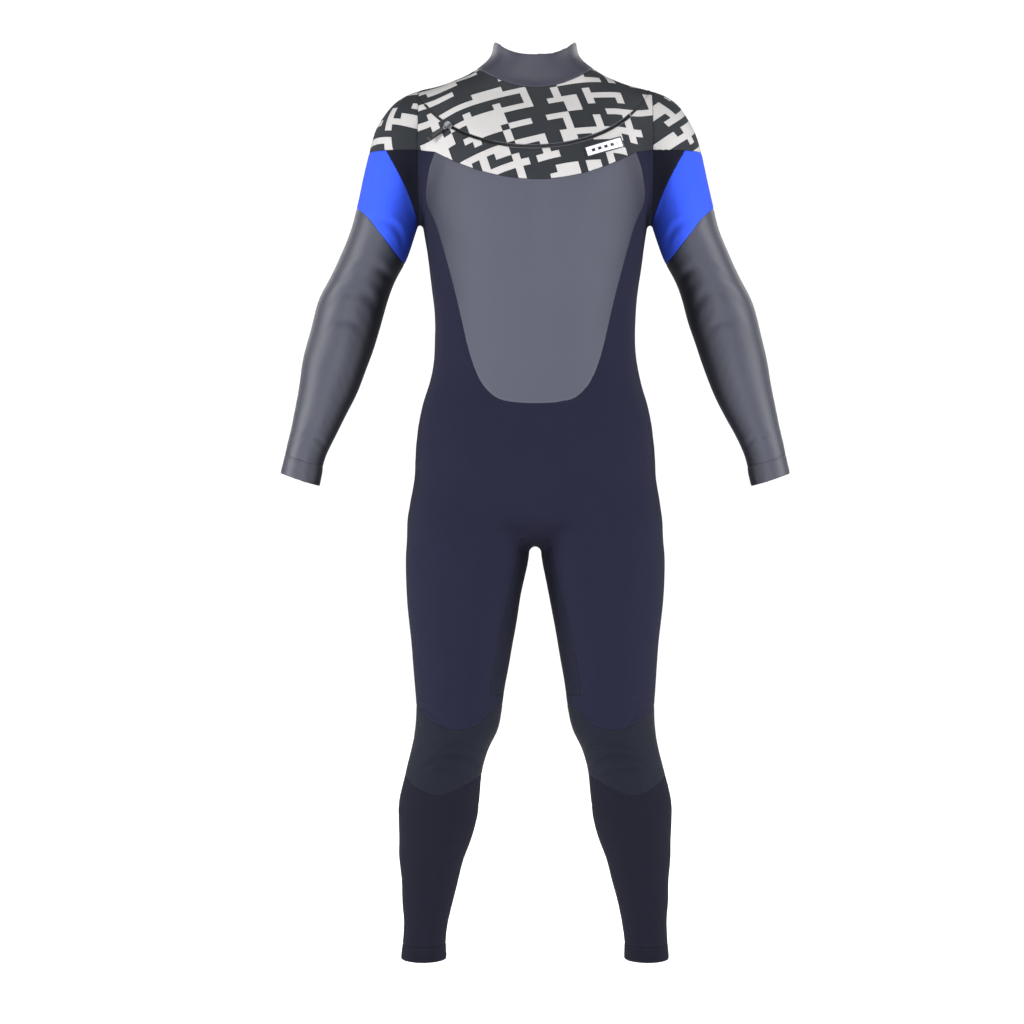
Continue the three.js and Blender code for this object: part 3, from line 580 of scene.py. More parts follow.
seam(rim_side, within(z=(1.39, 9)))
keep(lambda x, y, z: (z < 1.39) | (rim_side(x, y, z) < 0))
seam(lambda x, y, z: z, within(z=(-9, 0.05)))
keep(lambda x, y, z: z > 0)
seam(wrist_run, within(x=(0.30, 9), z=(-9, 0.85)))
keep(lambda x, y, z: (np.abs(x) < 0.30) | (z > 0.85) | (wrist_run(x, y, z) < 0))
seam(armhole_side, within(z=(1.12, 9)))
seam(whole_line(collar_line), within(x=(-9, 0.14)))
seam(front_line(yoke_line), within(z=(1.15, 9)))
seam(at_depth(YOKE_BACK), within(x=(-9, 0.195), z=(1.28, 9)))
seam(lambda x, y, z: y, both(in_trunk, within(z=(0.66, 1.30))))
seam(whole_line(shield_line), within(x=(-9, 0.185), y=(-9, -0.01), z=(0.86, 1.31)))
seam(at_height(WAIST), both(in_trunk, within(y=(-0.01, 9))))
seam(at_depth(LEG_SIDE), within(x=(-9, 0.26), z=(-9, 0.70)))
seam(front_line(inner_leg), within(x=(-9, 0.10), z=(0.40, 0.74)))
seam(at_height(GUSSET), within(x=(-9, 0.035), y=(-9, 0.001), z=(-9, 0.70)))
seam(front_line(knee_top), within(y=(-9, 0.02), z=(0.34, 0.47)))
seam(front_line(knee_foot), within(y=(-9, 0.02), z=(0.24, 0.34)))
seam(at_height(KNEE_FROM), within(z=(0.38, 0.5)))
seam(at_height(KNEE_TO), within(y=(0, 9), z=(-9, 0.3)))
seam(at_height(HEM), within(z=(-9, 0.06)))
seam(front_line(underarm_line), both(in_arm, within(z=(1.08, 1.32))))
seam(front_line(blue_line), both(in_arm, within(z=(1.04, 1.28))))
seam(lambda x, y, z: wrist_run(x, y, z) + CUFF, within(x=(0.30, 9), z=(-9, 0.86)))
front_yoke_zone = within(x=(-9, 0.190), y=(-9, 0.03), z=(1.24, 1.40))
seam(lambda x, y, z: zip_down(x, y, z) - SLOT, front_yoke_zone)
seam(lambda x, y, z: zip_down(x, y, z) + SLOT, front_yoke_zone)
seam(lambda x, y, z: zip_turn(x, y, z) - ZIP_FROM, front_yoke_zone)
seam(lambda x, y, z: zip_turn(x, y, z) - ZIP_TO, front_yoke_zone)


def past_zip(x, y, z):
    turn = zip_turn(x, y, z)
    return (turn < ZIP_FROM + 0.01) | (turn > ZIP_TO - 0.01)


seam(zip_down, both(front_yoke_zone, past_zip))

cx, cy, cz = skin_points[skin_faces].mean(1).T
arm_face = (armhole_side(cx, cy, cz) > 0) & (cz > 0.70)
over_yoke = front_line(yoke_line)(cx, cy, cz) > 0
over_collar = (whole_line(collar_line)(cx, cy, cz) > 0) & (np.abs(cx) < 0.15) & ~arm_face
inside_shield = (whole_line(shield_line)(cx, cy, cz) > 0) & (cz < 1.30) & (cy < 0)
inside_leg = (front_line(inner_leg)(cx, cy, cz) < 0) & (np.abs(cx) < 0.10) & (cz > KNEE_FROM)
inside_leg &= cz < np.where(cy < 0, GUSSET, GUSSET_REAR)
turn, down = zip_turn(cx, cy, cz), zip_down(cx, cy, cz)
in_slot = (np.abs(down) < SLOT) & (turn > ZIP_FROM) & (turn < ZIP_TO) & (cy < YOKE_BACK) & over_yoke & ~arm_face
yoke_face = over_yoke & ~over_collar & ~arm_face & ~in_slot
leg_face = ~arm_face & (cz < GUSSET_REAR)

panels = {}
panels["collar"] = over_collar
panels["yoke_above_zip"] = yoke_face & (cy < YOKE_BACK) & (down < 0)
panels["yoke_below_zip"] = yoke_face & (cy < YOKE_BACK) & (down > 0)
panels["yoke_back"] = yoke_face & (cy > YOKE_BACK)
panels["chest"] = ~arm_face & ~over_yoke & inside_shield & (cz > 0.87)
taken = np.zeros(len(cx), bool)
for chosen in panels.values():
    taken |= chosen
panels["inner_legs_and_gusset"] = leg_face & inside_leg & ~taken
taken |= panels["inner_legs_and_gusset"]
lower = ~arm_face & ~over_yoke & ~taken
knee_over = front_line(knee_top)(cx, cy, cz)
knee_under = front_line(knee_foot)(cx, cy, cz)
fore = cy < np.where(cz > 0.70, 0.0, LEG_SIDE)
panels["front_and_thighs"] = lower & fore & (cz > KNEE_FROM)
panels["back"] = lower & ~fore & (cz > WAIST)
panels["seat_and_thighs"] = lower & ~fore & (cz < WAIST) & (cz > KNEE_FROM)
for name, side in (("left", 1), ("right", -1)):
    half = cx * side > 0
    panels[name + "_thigh_foot"] = lower & fore & half & (knee_over > 0) & (cz < KNEE_FROM) & (cz > KNEE_MIDDLE)
    panels[name + "_knee_pad"] = lower & fore & half & (knee_over < 0) & (knee_under > 0) & (cz < KNEE_FROM)
    panels[name + "_knee_back"] = lower & ~fore & half & (cz < KNEE_FROM) & (cz > KNEE_TO)
    panels[name + "_shin"] = lower & fore & half & (knee_under < 0) & (cz < KNEE_MIDDLE) & (cz > HEM)
    panels[name + "_calf"] = lower & ~fore & half & (cz < KNEE_TO) & (cz > HEM)
    panels[name + "_hem"] = lower & half & (cz < HEM)
    arm_half = arm_face & half
    in_underarm = (front_line(underarm_line)(cx, cy, cz) > 0) & (cz < 1.30)
    over_blue = front_line(blue_line)(cx, cy, cz) > 0
    cuff_face = (arm_run(cx, cz, WRIST) > -CUFF) & (cz < 0.90)
    panels[name + "_sleeve_head"] = arm_half & over_yoke
    panels[name + "_underarm"] = arm_half & ~over_yoke & in_underarm
    panels[name + "_blue_arm"] = arm_half & ~over_yoke & ~in_underarm & over_blue
    panels[name + "_sleeve"] = arm_half & ~over_yoke & ~in_underarm & ~over_blue & ~cuff_face
    panels[name + "_cuff"] = arm_half & ~over_yoke & ~over_blue & cuff_face

leftover = ~in_slot
for chosen in panels.values():
    leftover &= ~chosen
if leftover.any():
    raise RuntimeError("some of the skin is in no panel")

# ---------------------------------------------------------------- cut panels
# Each panel is the skin between its seams, 3.5 mm thick, with its edges drawn in a little where the glued
# and stitched seam pulls them down. Every point keeps its distance from the edge and its run along it.

outward = normals_of(skin_points, skin_faces)


def edge_loops(faces):
    """A panel's open edges, each as a row of points in order."""
    directed = np.vstack([faces[:, [0, 1]], faces[:, [1, 2]], faces[:, [2, 0]]])
    known = set(map(tuple, directed))
    left = {int(a): int(b) for a, b in directed if (b, a) not in known}
    loops = []
    while left:
        point, loop = next(iter(left)), []
        while point in left:
            loop.append(point)
            point = left.pop(point)
        loops.append(loop)
    return loops


SEAM_WIDE = 0.0018  # how far from its edge a panel is drawn in


def panel_mesh(name, chosen, thickness=0.0035, dip=0.0006, offset=0.0):
    """The chosen skin as a closed sheet, with what its material reads: edge, weave and print coordinates."""
    used, flat = np.unique(skin_faces[chosen], return_inverse=True)
    faces = flat.reshape(-1, 3)
    points = skin_points[used] - (0, 0, SHOULDER)
    out = outward[used]
    tree_points, tree_runs, tree_ways = [], [], []
    for loop in edge_loops(faces):
        ring = points[loop]
        step = np.roll(ring, -1, axis=0) - ring
        way = np.roll(ring, -1, axis=0) - np.roll(ring, 1, axis=0)
        way /= np.maximum(np.linalg.norm(way, axis=1), 1e-9)[:, None]
        tree_points.append(ring)
        tree_runs.append(np.concatenate([[0], np.cumsum(np.linalg.norm(step, axis=1))[:-1]]))
        tree_ways.append(way)
    tree_points, tree_runs, tree_ways = (np.concatenate(part) for part in (tree_points, tree_runs, tree_ways))
    if "thigh" in name and "seat" not in name:  # split there only so that the leg can bend: no seam
        sewn = np.abs(tree_points[:, 2] + SHOULDER - KNEE_FROM) > 0.0003
        tree_points, tree_runs, tree_ways = tree_points[sewn], tree_runs[sewn], tree_ways[sewn]
    tree = kdtree.KDTree(len(tree_points))
    for i, place in enumerate(tree_points):
        tree.insert(place, i)
    tree.balance()
    away, run = np.empty(len(points)), np.empty(len(points))
    for i, place in enumerate(points):
        index, away[i] = tree.find(place)[1:]
        run[i] = tree_runs[index] + (place - tree_points[index]) @ tree_ways[index]
    points = points + out * (offset - dip * np.exp(-((away / SEAM_WIDE) ** 2)))[:, None]
    made = mesh_object(name, points.tolist(), faces.tolist())
    px, py, high = points[:, 0], points[:, 1], points[:, 2] + SHOULDER
    around = np.arctan2(px, np.where(py < 0.004, 0.10 - py, 0.10 + py)) * 0.21
    if "leeve" in name or "arm" in name or "cuff" in name:
        centre = np.interp(high, [0.77, 0.86, 0.957, 1.053, 1.165, 1.293],
                           [0.371, 0.3445, 0.317, 0.291, 0.242, 0.205])
        depth = np.interp(high, [0.77, 0.86, 0.957, 1.053, 1.293], [-0.054, -0.034, -0.010, 0.009, 0.006])
        around = np.arctan2(np.abs(px) - centre, depth - py) * 0.05
    elif "knee" in name or "shin" in name or "calf" in name or "hem" in name:
        centre = np.interp(high, [0, 0.157, 0.253, 0.335, 0.445], [0.178, 0.166, 0.1535, 0.136, 0.120])
        around = np.arctan2(np.abs(px) - centre, np.where(py < LEG_SIDE, 0.03 - py, 0.03 + py)) * 0.08
    fall = np.where(py > YOKE_BACK, -0.7, 0.7) if "back" in name else 0.7
    across_print, up_print = px, high + fall * py
    if "sleeve_head" in name:
        from_neck, behind = np.abs(px) - 0.10, py - 0.01
        across_print = 0.31 + 0.14 * np.sign(px) * np.arctan2(behind, from_neck)
        up_print = high - 0.6 * np.hypot(from_neck, behind)
    if "back" in name:
        across_print = across_print + 0.57
    inward = -np.sign(px) * out[:, 0]
    attributes = made.data.attributes
    for label, values in (("edge_away", away), ("edge_run", run), ("inward", inward)):
        attributes.new(label, "FLOAT", "POINT").data.foreach_set("value", values.astype(np.float32))
    for label, u, v in (("weave", around, high), ("print", across_print, up_print)):
        values = np.column_stack([u, v, np.zeros(len(u))]).astype(np.float32).ravel()
        attributes.new(label, "FLOAT_VECTOR", "POINT").data.foreach_set("vector", values)
    thick = made.modifiers.new("thickness", "SOLIDIFY")
    thick.thickness = thickness
    thick.offset = -1
    select_only(made)
    bpy.ops.object.modifier_apply(modifier="thickness")
    bpy.ops.object.shade_smooth_by_angle(angle=math.radians(48))
    return made


def socket(tree, wanted, target):
    if isinstance(wanted, bpy.types.NodeSocket):
        tree.links.new(wanted, target)
    else:
        target.default_value = wanted


def calc(tree, kind, a, b=0.0, c=0.0):
    made = tree.nodes.new("ShaderNodeMath")
    made.operation = kind
    for value, target in zip((a, b, c), made.inputs):
        socket(tree, value, target)
    return made.outputs[0]


def times(tree, a, b):
    return calc(tree, "MULTIPLY", a, b)


def plus(tree, a, b):
    return calc(tree, "ADD", a, b)


def minus(tree, a, b):
    return calc(tree, "SUBTRACT", a, b)


def held(tree, name, part):
    made = tree.nodes.new("ShaderNodeAttribute")
    made.attribute_name = name
    return made.outputs[part]


def in_object(tree):
    return tree.nodes.new("ShaderNodeTexCoord").outputs["Object"]


def noise(tree, vector, scale, detail):
    made = tree.nodes.new("ShaderNodeTexNoise")
    made.inputs["Scale"].default_value = scale
    made.inputs["Detail"].default_value = detail
    tree.links.new(vector, made.inputs["Vector"])
    return made.outputs["Fac"]


def between(tree, factor, a, b):
    made = tree.nodes.new("ShaderNodeMix")
    made.data_type = "RGBA"
    socket(tree, factor, made.inputs["Factor"])
    socket(tree, a, made.inputs["A"])
    socket(tree, b, made.inputs["B"])
    return made.outputs["Result"]


def apart(tree, vector):
    made = tree.nodes.new("ShaderNodeSeparateXYZ")
    tree.links.new(vector, made.inputs[0])
    return made.outputs


def stepped(tree, value, low, high):
    made = tree.nodes.new("ShaderNodeMapRange")
    made.interpolation_type = "SMOOTHSTEP"
    made.inputs["From Min"].default_value = low
    made.inputs["From Max"].default_value = high
    tree.links.new(value, made.inputs["Value"])
    return made.outputs["Result"]


def grown(colour, by):
    return tuple(min(1.0, c * by) for c in colour[:3]) + (1,)


DARK = (0.004, 0.004, 0.006, 1)
STITCH, STITCH_IN = 0.0034, 0.0024  # from one blind stitch to the next, and from the seam to the stitch


def finish_material(name, base, weave, rough, bump, seam_dark=0.45, stitch=1.6, shine=0.10, inner=0.0, outer=0.0,
                    spread=0.10):
    """Neoprene skin or jersey: base colour with slow patches, a fine relief, dark seams, a blind stitch, painted
    shade in the relief's hollows and where the surface turns away from view, and, if asked, painted shade on a
    limb's body side and outer edge.
    """
    made = bpy.data.materials.new(name)
    made.use_nodes = True
    tree = made.node_tree
    shader = tree.nodes["Principled BSDF"]
    coords = in_object(tree)
    patches = noise(tree, coords, 7.0, 4.0)
    fine = noise(tree, coords, 900.0, 2.0)
    relief = weave(tree)
    if callable(base):
        colour = between(tree, times(tree, patches, 0.16), base(tree), (0.30, 0.30, 0.31, 1))
    else:
        colour = between(tree, patches, grown(base, 1 - spread), grown(base, 1 + spread))
    # Painted shade: the colour is darkened where the relief is low, in its hollows.
    colour = between(tree, times(tree, minus(tree, 1.0, relief), 0.30), colour, (0, 0, 0, 1))
    if not callable(base):
        colour = between(tree, times(tree, fine, 0.35), colour, grown(base, 1.5))
    away = held(tree, "edge_away", "Fac")
    line = minus(tree, 1.0, stepped(tree, away, 0.0002, 0.0011))
    wave = calc(tree, "SINE", times(tree, held(tree, "edge_run", "Fac"), 2 * math.pi / STITCH))
    track = stepped(tree, calc(tree, "ABSOLUTE", minus(tree, away, STITCH_IN)), 0.00075, 0.00030)
    thread = times(tree, stepped(tree, wave, -0.3, 0.2), track)
    colour = between(tree, times(tree, line, 1 - seam_dark), colour, DARK)
    if not callable(base):
        colour = between(tree, times(tree, thread, 0.55), colour, grown(base, stitch))
    # Painted shade: the colour is darkened towards near black where the surface turns away from the view, as a
    # silhouette falls into shade.
    facing = tree.nodes.new("ShaderNodeLayerWeight")
    facing.inputs["Blend"].default_value = 0.30
    colour = between(tree, times(tree, facing.outputs["Facing"], 0.55), colour, (0.006, 0.006, 0.009, 1))
    shader.inputs["Specular IOR Level"].default_value = shine
    if inner or outer:
        # Painted shade: the side of a limb that is turned to the body is darkened as the body shades it, and so
        # is the far outer edge; the specular level is lowered with it.
        inward = held(tree, "inward", "Fac")
        painted_shade = plus(tree, times(tree, stepped(tree, inward, 0.05, 0.85), inner),
                     times(tree, stepped(tree, times(tree, inward, -1.0), 0.25, 0.90), outer))
        colour = between(tree, painted_shade, colour, DARK)
        tree.links.new(times(tree, minus(tree, 1.0, painted_shade), shine), shader.inputs["Specular IOR Level"])
    tree.links.new(colour, shader.inputs["Base Color"])
    roughness = plus(tree, rough, times(tree, minus(tree, patches, 0.5), 0.14))
    tree.links.new(roughness, shader.inputs["Roughness"])
    raised = tree.nodes.new("ShaderNodeBump")
    raised.inputs["Strength"].default_value = 0.65
    raised.inputs["Distance"].default_value = bump
    height = plus(tree, plus(tree, relief, times(tree, fine, 0.4)), times(tree, thread, 1.6))
    tree.links.new(height, raised.inputs["Height"])
    tree.links.new(raised.outputs["Normal"], shader.inputs["Normal"])
    return made


def knit(tree):
    """Stretch jersey: upright ribs of loops, each loop a small V."""
    u, v = apart(tree, held(tree, "weave", "Vector"))[:2]
    rib = calc(tree, "ABSOLUTE", calc(tree, "SINE", times(tree, u, math.pi / 0.0012)))
    slant = plus(tree, times(tree, v, 2 * math.pi / 0.0013), times(tree, rib, 2.2))
    loop = calc(tree, "MULTIPLY_ADD", calc(tree, "SINE", slant), 0.5, 0.5)
    return times(tree, calc(tree, "POWER", rib, 0.6), loop)


def mesh_emboss(tree):
    """Mesh skin: a rolled-in grid of tiny diamonds on smooth rubber."""
    u, v = apart(tree, held(tree, "weave", "Vector"))[:2]
    one = calc(tree, "SINE", times(tree, plus(tree, u, v), math.pi / 0.0017))
    two = calc(tree, "SINE", times(tree, minus(tree, u, v), math.pi / 0.0017))
    return calc(tree, "MAXIMUM", calc(tree, "ABSOLUTE", one), calc(tree, "ABSOLUTE", two))


def rolled(tree):
    """Smooth skin: the sheet's own faint leathery grain, a little drawn out along the limb."""
    squeeze = tree.nodes.new("ShaderNodeMapping")
    squeeze.inputs["Scale"].default_value = (1, 1, 0.45)
    tree.links.new(in_object(tree), squeeze.inputs["Vector"])
    wide = noise(tree, squeeze.outputs["Vector"], 130.0, 3.0)
    return calc(tree, "MULTIPLY_ADD", wide, 0.5, 0.5)


def ribbed(tree):
    """Knee rubber: close rows of raised dashes that wear better than jersey."""
    u, v = apart(tree, held(tree, "weave", "Vector"))[:2]
    row = calc(tree, "ABSOLUTE", calc(tree, "SINE", times(tree, v, math.pi / 0.0022)))
    column = calc(tree, "ABSOLUTE", calc(tree, "SINE", times(tree, u, math.pi / 0.0030)))
    return times(tree, calc(tree, "POWER", row, 0.5), stepped(tree, column, 0.15, 0.4))


PRINT_CELL = 0.0122  # every stroke of the print is one cell wide


def bars(tree, across, up, wide, high, thick, chance, shortest, longest, shift):
    """1 inside scattered bars on the print's grid. A block of wide by high cells may hold one bar."""
    up = calc(tree, "DIVIDE", up, PRINT_CELL * high)
    row = calc(tree, "FLOOR", up)
    row_noise = tree.nodes.new("ShaderNodeTexWhiteNoise")
    row_noise.noise_dimensions = "1D"
    tree.links.new(plus(tree, row, shift), row_noise.inputs["W"])
    steps = calc(tree, "FLOOR", times(tree, row_noise.outputs["Value"], wide))
    moved = calc(tree, "DIVIDE", steps, wide)
    along = plus(tree, calc(tree, "DIVIDE", across, PRINT_CELL * wide), moved)
    cell = tree.nodes.new("ShaderNodeCombineXYZ")
    for value, target in zip((calc(tree, "FLOOR", along), row, shift), cell.inputs):
        socket(tree, value, target)
    chosen = tree.nodes.new("ShaderNodeTexWhiteNoise")
    tree.links.new(cell.outputs[0], chosen.inputs["Vector"])
    one, two, three = apart(tree, chosen.outputs["Color"])
    length = calc(tree, "FLOOR", calc(tree, "MULTIPLY_ADD", two, longest - shortest + 0.999, shortest))
    room = minus(tree, wide + 0.999, length)
    start = calc(tree, "FLOOR", times(tree, three, room))
    place = calc(tree, "FLOOR", times(tree, calc(tree, "FRACT", along), wide))
    past = calc(tree, "GREATER_THAN", place, minus(tree, start, 0.5))
    before = calc(tree, "LESS_THAN", place, minus(tree, plus(tree, start, length), 0.5))
    level = calc(tree, "LESS_THAN", times(tree, calc(tree, "FRACT", up), high), thick)
    inside = times(tree, times(tree, past, before), level)
    return times(tree, inside, calc(tree, "LESS_THAN", one, chance))


def block_print(tree):
    """The yoke's print: right-angled cream strokes and blocks on near black, turned a little."""
    u, v = apart(tree, held(tree, "print", "Vector"))[:2]
    turn = math.radians(16)
    across = plus(tree, times(tree, u, math.cos(turn)), times(tree, v, math.sin(turn)))
    up = minus(tree, times(tree, v, math.cos(turn)), times(tree, u, math.sin(turn)))
    level = bars(tree, across, up, 6, 3, 1, 0.96, 3, 5, 5.0)
    upright = bars(tree, up, across, 5, 4, 1, 0.82, 2, 4, 12.0)
    blocks = bars(tree, across, up, 7, 5, 2, 0.92, 2, 4, 41.0)
    inked = calc(tree, "MAXIMUM", calc(tree, "MAXIMUM", level, upright), blocks)
    return between(tree, inked, (0.017, 0.021, 0.026, 1), (0.66, 0.645, 0.640, 1))


def jersey(name, base, **more):
    return finish_material(name, base, knit, 0.90, 0.00022, **more)


# inner and outer set how much painted shade a limb's body side and its outer edge get.
navy = jersey("navy_jersey", (0.0140, 0.0145, 0.0330, 1))
black = jersey("black_jersey", (0.0080, 0.0088, 0.0165, 1))
inner_leg_jersey = jersey("inner_leg_jersey", (0.0125, 0.0135, 0.0275, 1))
shin = jersey("shin_jersey", (0.0095, 0.0097, 0.0190, 1))
blue = finish_material("blue_jersey", (0.038, 0.098, 0.870, 1), knit, 0.88, 0.00020, seam_dark=0.5, stitch=1.2,
                       inner=0.60)
printed = finish_material("printed_jersey", block_print, knit, 0.90, 0.00020)
knee = finish_material("knee_rubber", (0.0088, 0.0104, 0.0190, 1), ribbed, 0.75, 0.00030, shine=0.12)
mesh_skin = finish_material("mesh_skin", (0.067, 0.070, 0.098, 1), mesh_emboss, 0.60, 0.00018, shine=0.25,
                            outer=0.55)
smooth_skin = finish_material("smooth_skin", (0.035, 0.038, 0.061, 1), rolled, 0.56, 0.00018, shine=0.64,
                              inner=0.88, outer=0.40)
collar_skin = finish_material("collar_skin", (0.028, 0.028, 0.046, 1), rolled, 0.52, 0.00015, shine=0.50,
                              spread=0.08)

RIDES = {
    "collar": ("torso", collar_skin, "collar_rubber", ["neck_collar"]),
    "yoke_above_zip": ("torso", printed, "printed_jersey", ["front_yoke"]),
    "yoke_below_zip": ("torso", printed, "printed_jersey", ["zip_flap_yoke"]),
    "yoke_back": ("torso", printed, "printed_jersey", ["back_yoke"]),
    "chest": ("torso", mesh_skin, "chest_mesh_skin", ["chest_panel"]),
    "inner_legs_and_gusset": ("torso", inner_leg_jersey, "black_jersey",
                              ["crotch_gusset", "left_inner_leg", "right_inner_leg"]),
    "front_and_thighs": ("torso", navy, "navy_jersey", ["left_side_panel", "right_side_panel", "abdomen_panel",
                                                       "left_thigh_front", "right_thigh_front"]),
    "back": ("torso", navy, "navy_jersey", ["back_panel"]),
    "seat_and_thighs": ("torso", navy, "navy_jersey", ["seat_panel", "left_thigh_back", "right_thigh_back"]),
}
for side in ("left", "right"):
    shin_body, arm_body = side + "_shin", side + "_forearm"
    RIDES[side + "_knee_pad"] = (("torso", shin_body), knee, "knee_rubber", [side + "_knee_pad"])
    RIDES[side + "_knee_back"] = (("torso", shin_body), navy, "navy_jersey", [side + "_knee_back"])
    RIDES[side + "_thigh_foot"] = (("torso", shin_body), navy, "navy_jersey", [])
    RIDES[side + "_shin"] = (("torso", shin_body), shin, "navy_jersey", [side + "_shin_front"])
    RIDES[side + "_calf"] = (shin_body, shin, "navy_jersey", [side + "_calf_back"])
    RIDES[side + "_hem"] = (shin_body, black, "hem_tape", [side + "_ankle_hem"])
    RIDES[side + "_sleeve_head"] = ("torso", printed, "printed_jersey", [side + "_sleeve_head"])
    RIDES[side + "_underarm"] = ("torso", black, "black_jersey", [side + "_underarm_panel"])
    RIDES[side + "_blue_arm"] = ("torso", blue, "blue_jersey", [side + "_blue_arm_panel"])
    RIDES[side + "_sleeve"] = (("torso", arm_body), smooth_skin, "smooth_skin_rubber",
                               [side + "_upper_sleeve", side + "_elbow_sleeve", side + "_forearm_sleeve"])
    RIDES[side + "_cuff"] = (arm_body, smooth_skin, "smooth_skin_rubber", [side + "_wrist_cuff"])

for name, (body, finish, slot, nodes) in RIDES.items():
    piece = panel_mesh("suit_" + name, panels[name])
    piece.data.materials.append(finish)
    if nodes:
        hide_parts(*nodes)
    if isinstance(body, str):
        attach(piece, body)
        continue
    sign = 1 if name.startswith("left") else -1
    if "sleeve" in name:
        ends = [ELBOW + ARM_DOWN * run for run in (-ELBOW_REACH, ELBOW_REACH)]
        ends = [(sign * p[0], 0.010, p[1] - SHOULDER) for p in ends]
    else:
        ends = [(sign * 0.136, 0.002, high - SHOULDER) for high in (KNEE_FROM, KNEE_TO)]
    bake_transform(piece, *body, start=ends[0], end=ends[1])

# ---------------------------------------------------------------- neck seal
# A second, thinner collar of bare rubber is glued inside the first, and grips the neck against flushing.

seal = panel_mesh("neck_seal", over_collar & (cz > 1.416) & (cz < 1.435),
                  thickness=0.0018, dip=0.0, offset=-0.0040)
seal.data.materials.append(smooth_skin)
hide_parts("inner_neck_seal")
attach(seal, "torso")

# ---------------------------------------------------------------- zip
# A moulded nylon coil chain on two woven tapes, sunk in the slot between the two yoke panels. Metal stops
# end it, and the slider is cast metal with a moulded rubber pull on a wire loop.


def swept(name, section, start, end, steps=150):
    """A bar of this section, down and out from the zip's line, along the arc."""
    turns = np.linspace(start, end, steps)
    rows = [zip_place(turns, np.full(steps, d), np.full(steps, o)) for d, o in section]
    count = len(section)
    points = np.stack(rows, 1).reshape(-1, 3)
    faces = [tuple(reversed(range(count))), tuple(range((steps - 1) * count, steps * count))]
    for i in range(steps - 1):
        for k in range(count):
            a, b = i * count + k, i * count + (k + 1) % count
            faces.append((a, b, b + count, a + count))
    made = mesh_object(name, points.tolist(), faces)
    face_outward(made)
    return made


def plain_material(name, base, rough, metal, scale, bump):
    """Cast metal, moulded plastic or tape: a fine grain, and slow patches in colour and gloss."""
    made = bpy.data.materials.new(name)
    made.use_nodes = True
    tree = made.node_tree
    shader = tree.nodes["Principled BSDF"]
    coords = in_object(tree)
    grain = noise(tree, coords, scale, 3.0)
    patch = noise(tree, coords, scale / 12, 2.0)
    tree.links.new(between(tree, patch, grown(base, 0.8), grown(base, 1.2)), shader.inputs["Base Color"])
    rough_socket = calc(tree, "MULTIPLY_ADD", patch, 0.2, rough - 0.1)
    tree.links.new(rough_socket, shader.inputs["Roughness"])
    shader.inputs["Metallic"].default_value = metal
    raised = tree.nodes.new("ShaderNodeBump")
    raised.inputs["Strength"].default_value = 0.5
    raised.inputs["Distance"].default_value = bump
    tree.links.new(grain, raised.inputs["Height"])
    tree.links.new(raised.outputs["Normal"], shader.inputs["Normal"])
    return made


tape_weave = plain_material("zip_tape_weave", (0.012, 0.012, 0.015, 1), 0.85, 0.0, 1800.0, 0.00012)
coil_nylon = plain_material("coil_nylon", (0.010, 0.010, 0.012, 1), 0.38, 0.0, 900.0, 0.00003)
cast_metal = plain_material("cast_metal", (0.36, 0.37, 0.39, 1), 0.32, 1.0, 700.0, 0.00005)
pull_rubber = plain_material("pull_rubber", (0.014, 0.014, 0.016, 1), 0.55, 0.0, 600.0, 0.00006)
lining_knit = plain_material("lining_knit", (0.030, 0.030, 0.034, 1), 0.9, 0.0, 1400.0, 0.00020)
piping = plain_material("slot_piping", (0.085, 0.090, 0.110, 1), 0.55, 0.0, 900.0, 0.00008)

tape_section = ((0.0012, -0.0014), (0.0023, -0.0012), (0.0023, -0.0019), (0.0012, -0.0021))
ring = np.arange(8) * math.pi / 4
for name, sign in (("upper", -1), ("lower", 1)):
    tape = swept("tape_" + name, [(sign * d, o) for d, o in tape_section], ZIP_FROM, ZIP_TO)
    tape.data.materials.append(tape_weave)
    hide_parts("zip_tape_" + name)
    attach(tape, "torso")
    # A thin smooth-skin strip binds the yoke's cut edge along the slot.
    edge = [(SLOT + 0.0003 + 0.0006 * math.cos(a), 0.0001 + 0.0006 * math.sin(a)) for a in ring]
    edge = swept("slot_binding_" + name, [(sign * d, o) for d, o in edge], ZIP_FROM, ZIP_TO)
    edge.data.materials.append(piping)
    bpy.ops.object.shade_smooth()
    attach(edge, "torso")

# Every coil turn is one small ring across the chain, and neighbours lean opposite ways where they lock.
PITCH = 0.0014
COIL_WIDE, COIL_HIGH, WIRE = 0.0018, 0.0010, 0.00048  # half the width and height, half the wire
turns = np.arange(turn_of("zip_slider") - 0.002 / ZIP_RADIUS, ZIP_TO - 0.003 / ZIP_RADIUS, PITCH / ZIP_RADIUS)
coil_points, coil_faces = [], []
for i, turn_here in enumerate(turns):
    base = len(coil_points)
    for end in (-1, -0.55, 0.55, 1):
        thin = 0.45 if abs(end) == 1 else 1.0
        lean = (0.00035 if i % 2 else -0.00035) * end
        for a in ring:
            angle = turn_here + (lean + WIRE * thin * math.cos(a)) / ZIP_RADIUS
            out = np.array([0.0001 + COIL_HIGH * thin * math.sin(a)])
            coil_points.append(tuple(zip_place(np.array([angle]), np.array([end * COIL_WIDE]), out)[0]))
    for k in range(3):
        for m in range(8):
            a, b = base + k * 8 + m, base + k * 8 + (m + 1) % 8
            coil_faces.append((a, a + 8, b + 8, b))
    coil_faces.append(tuple(base + m for m in range(8)))
    coil_faces.append(tuple(base + 24 + m for m in reversed(range(8))))
coil = mesh_object("zip_coil_turns", coil_points, coil_faces)
face_outward(coil)
bpy.ops.object.shade_smooth_by_angle(angle=math.radians(50))
coil.data.materials.append(coil_nylon)
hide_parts("zip_chain")
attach(coil, "torso")

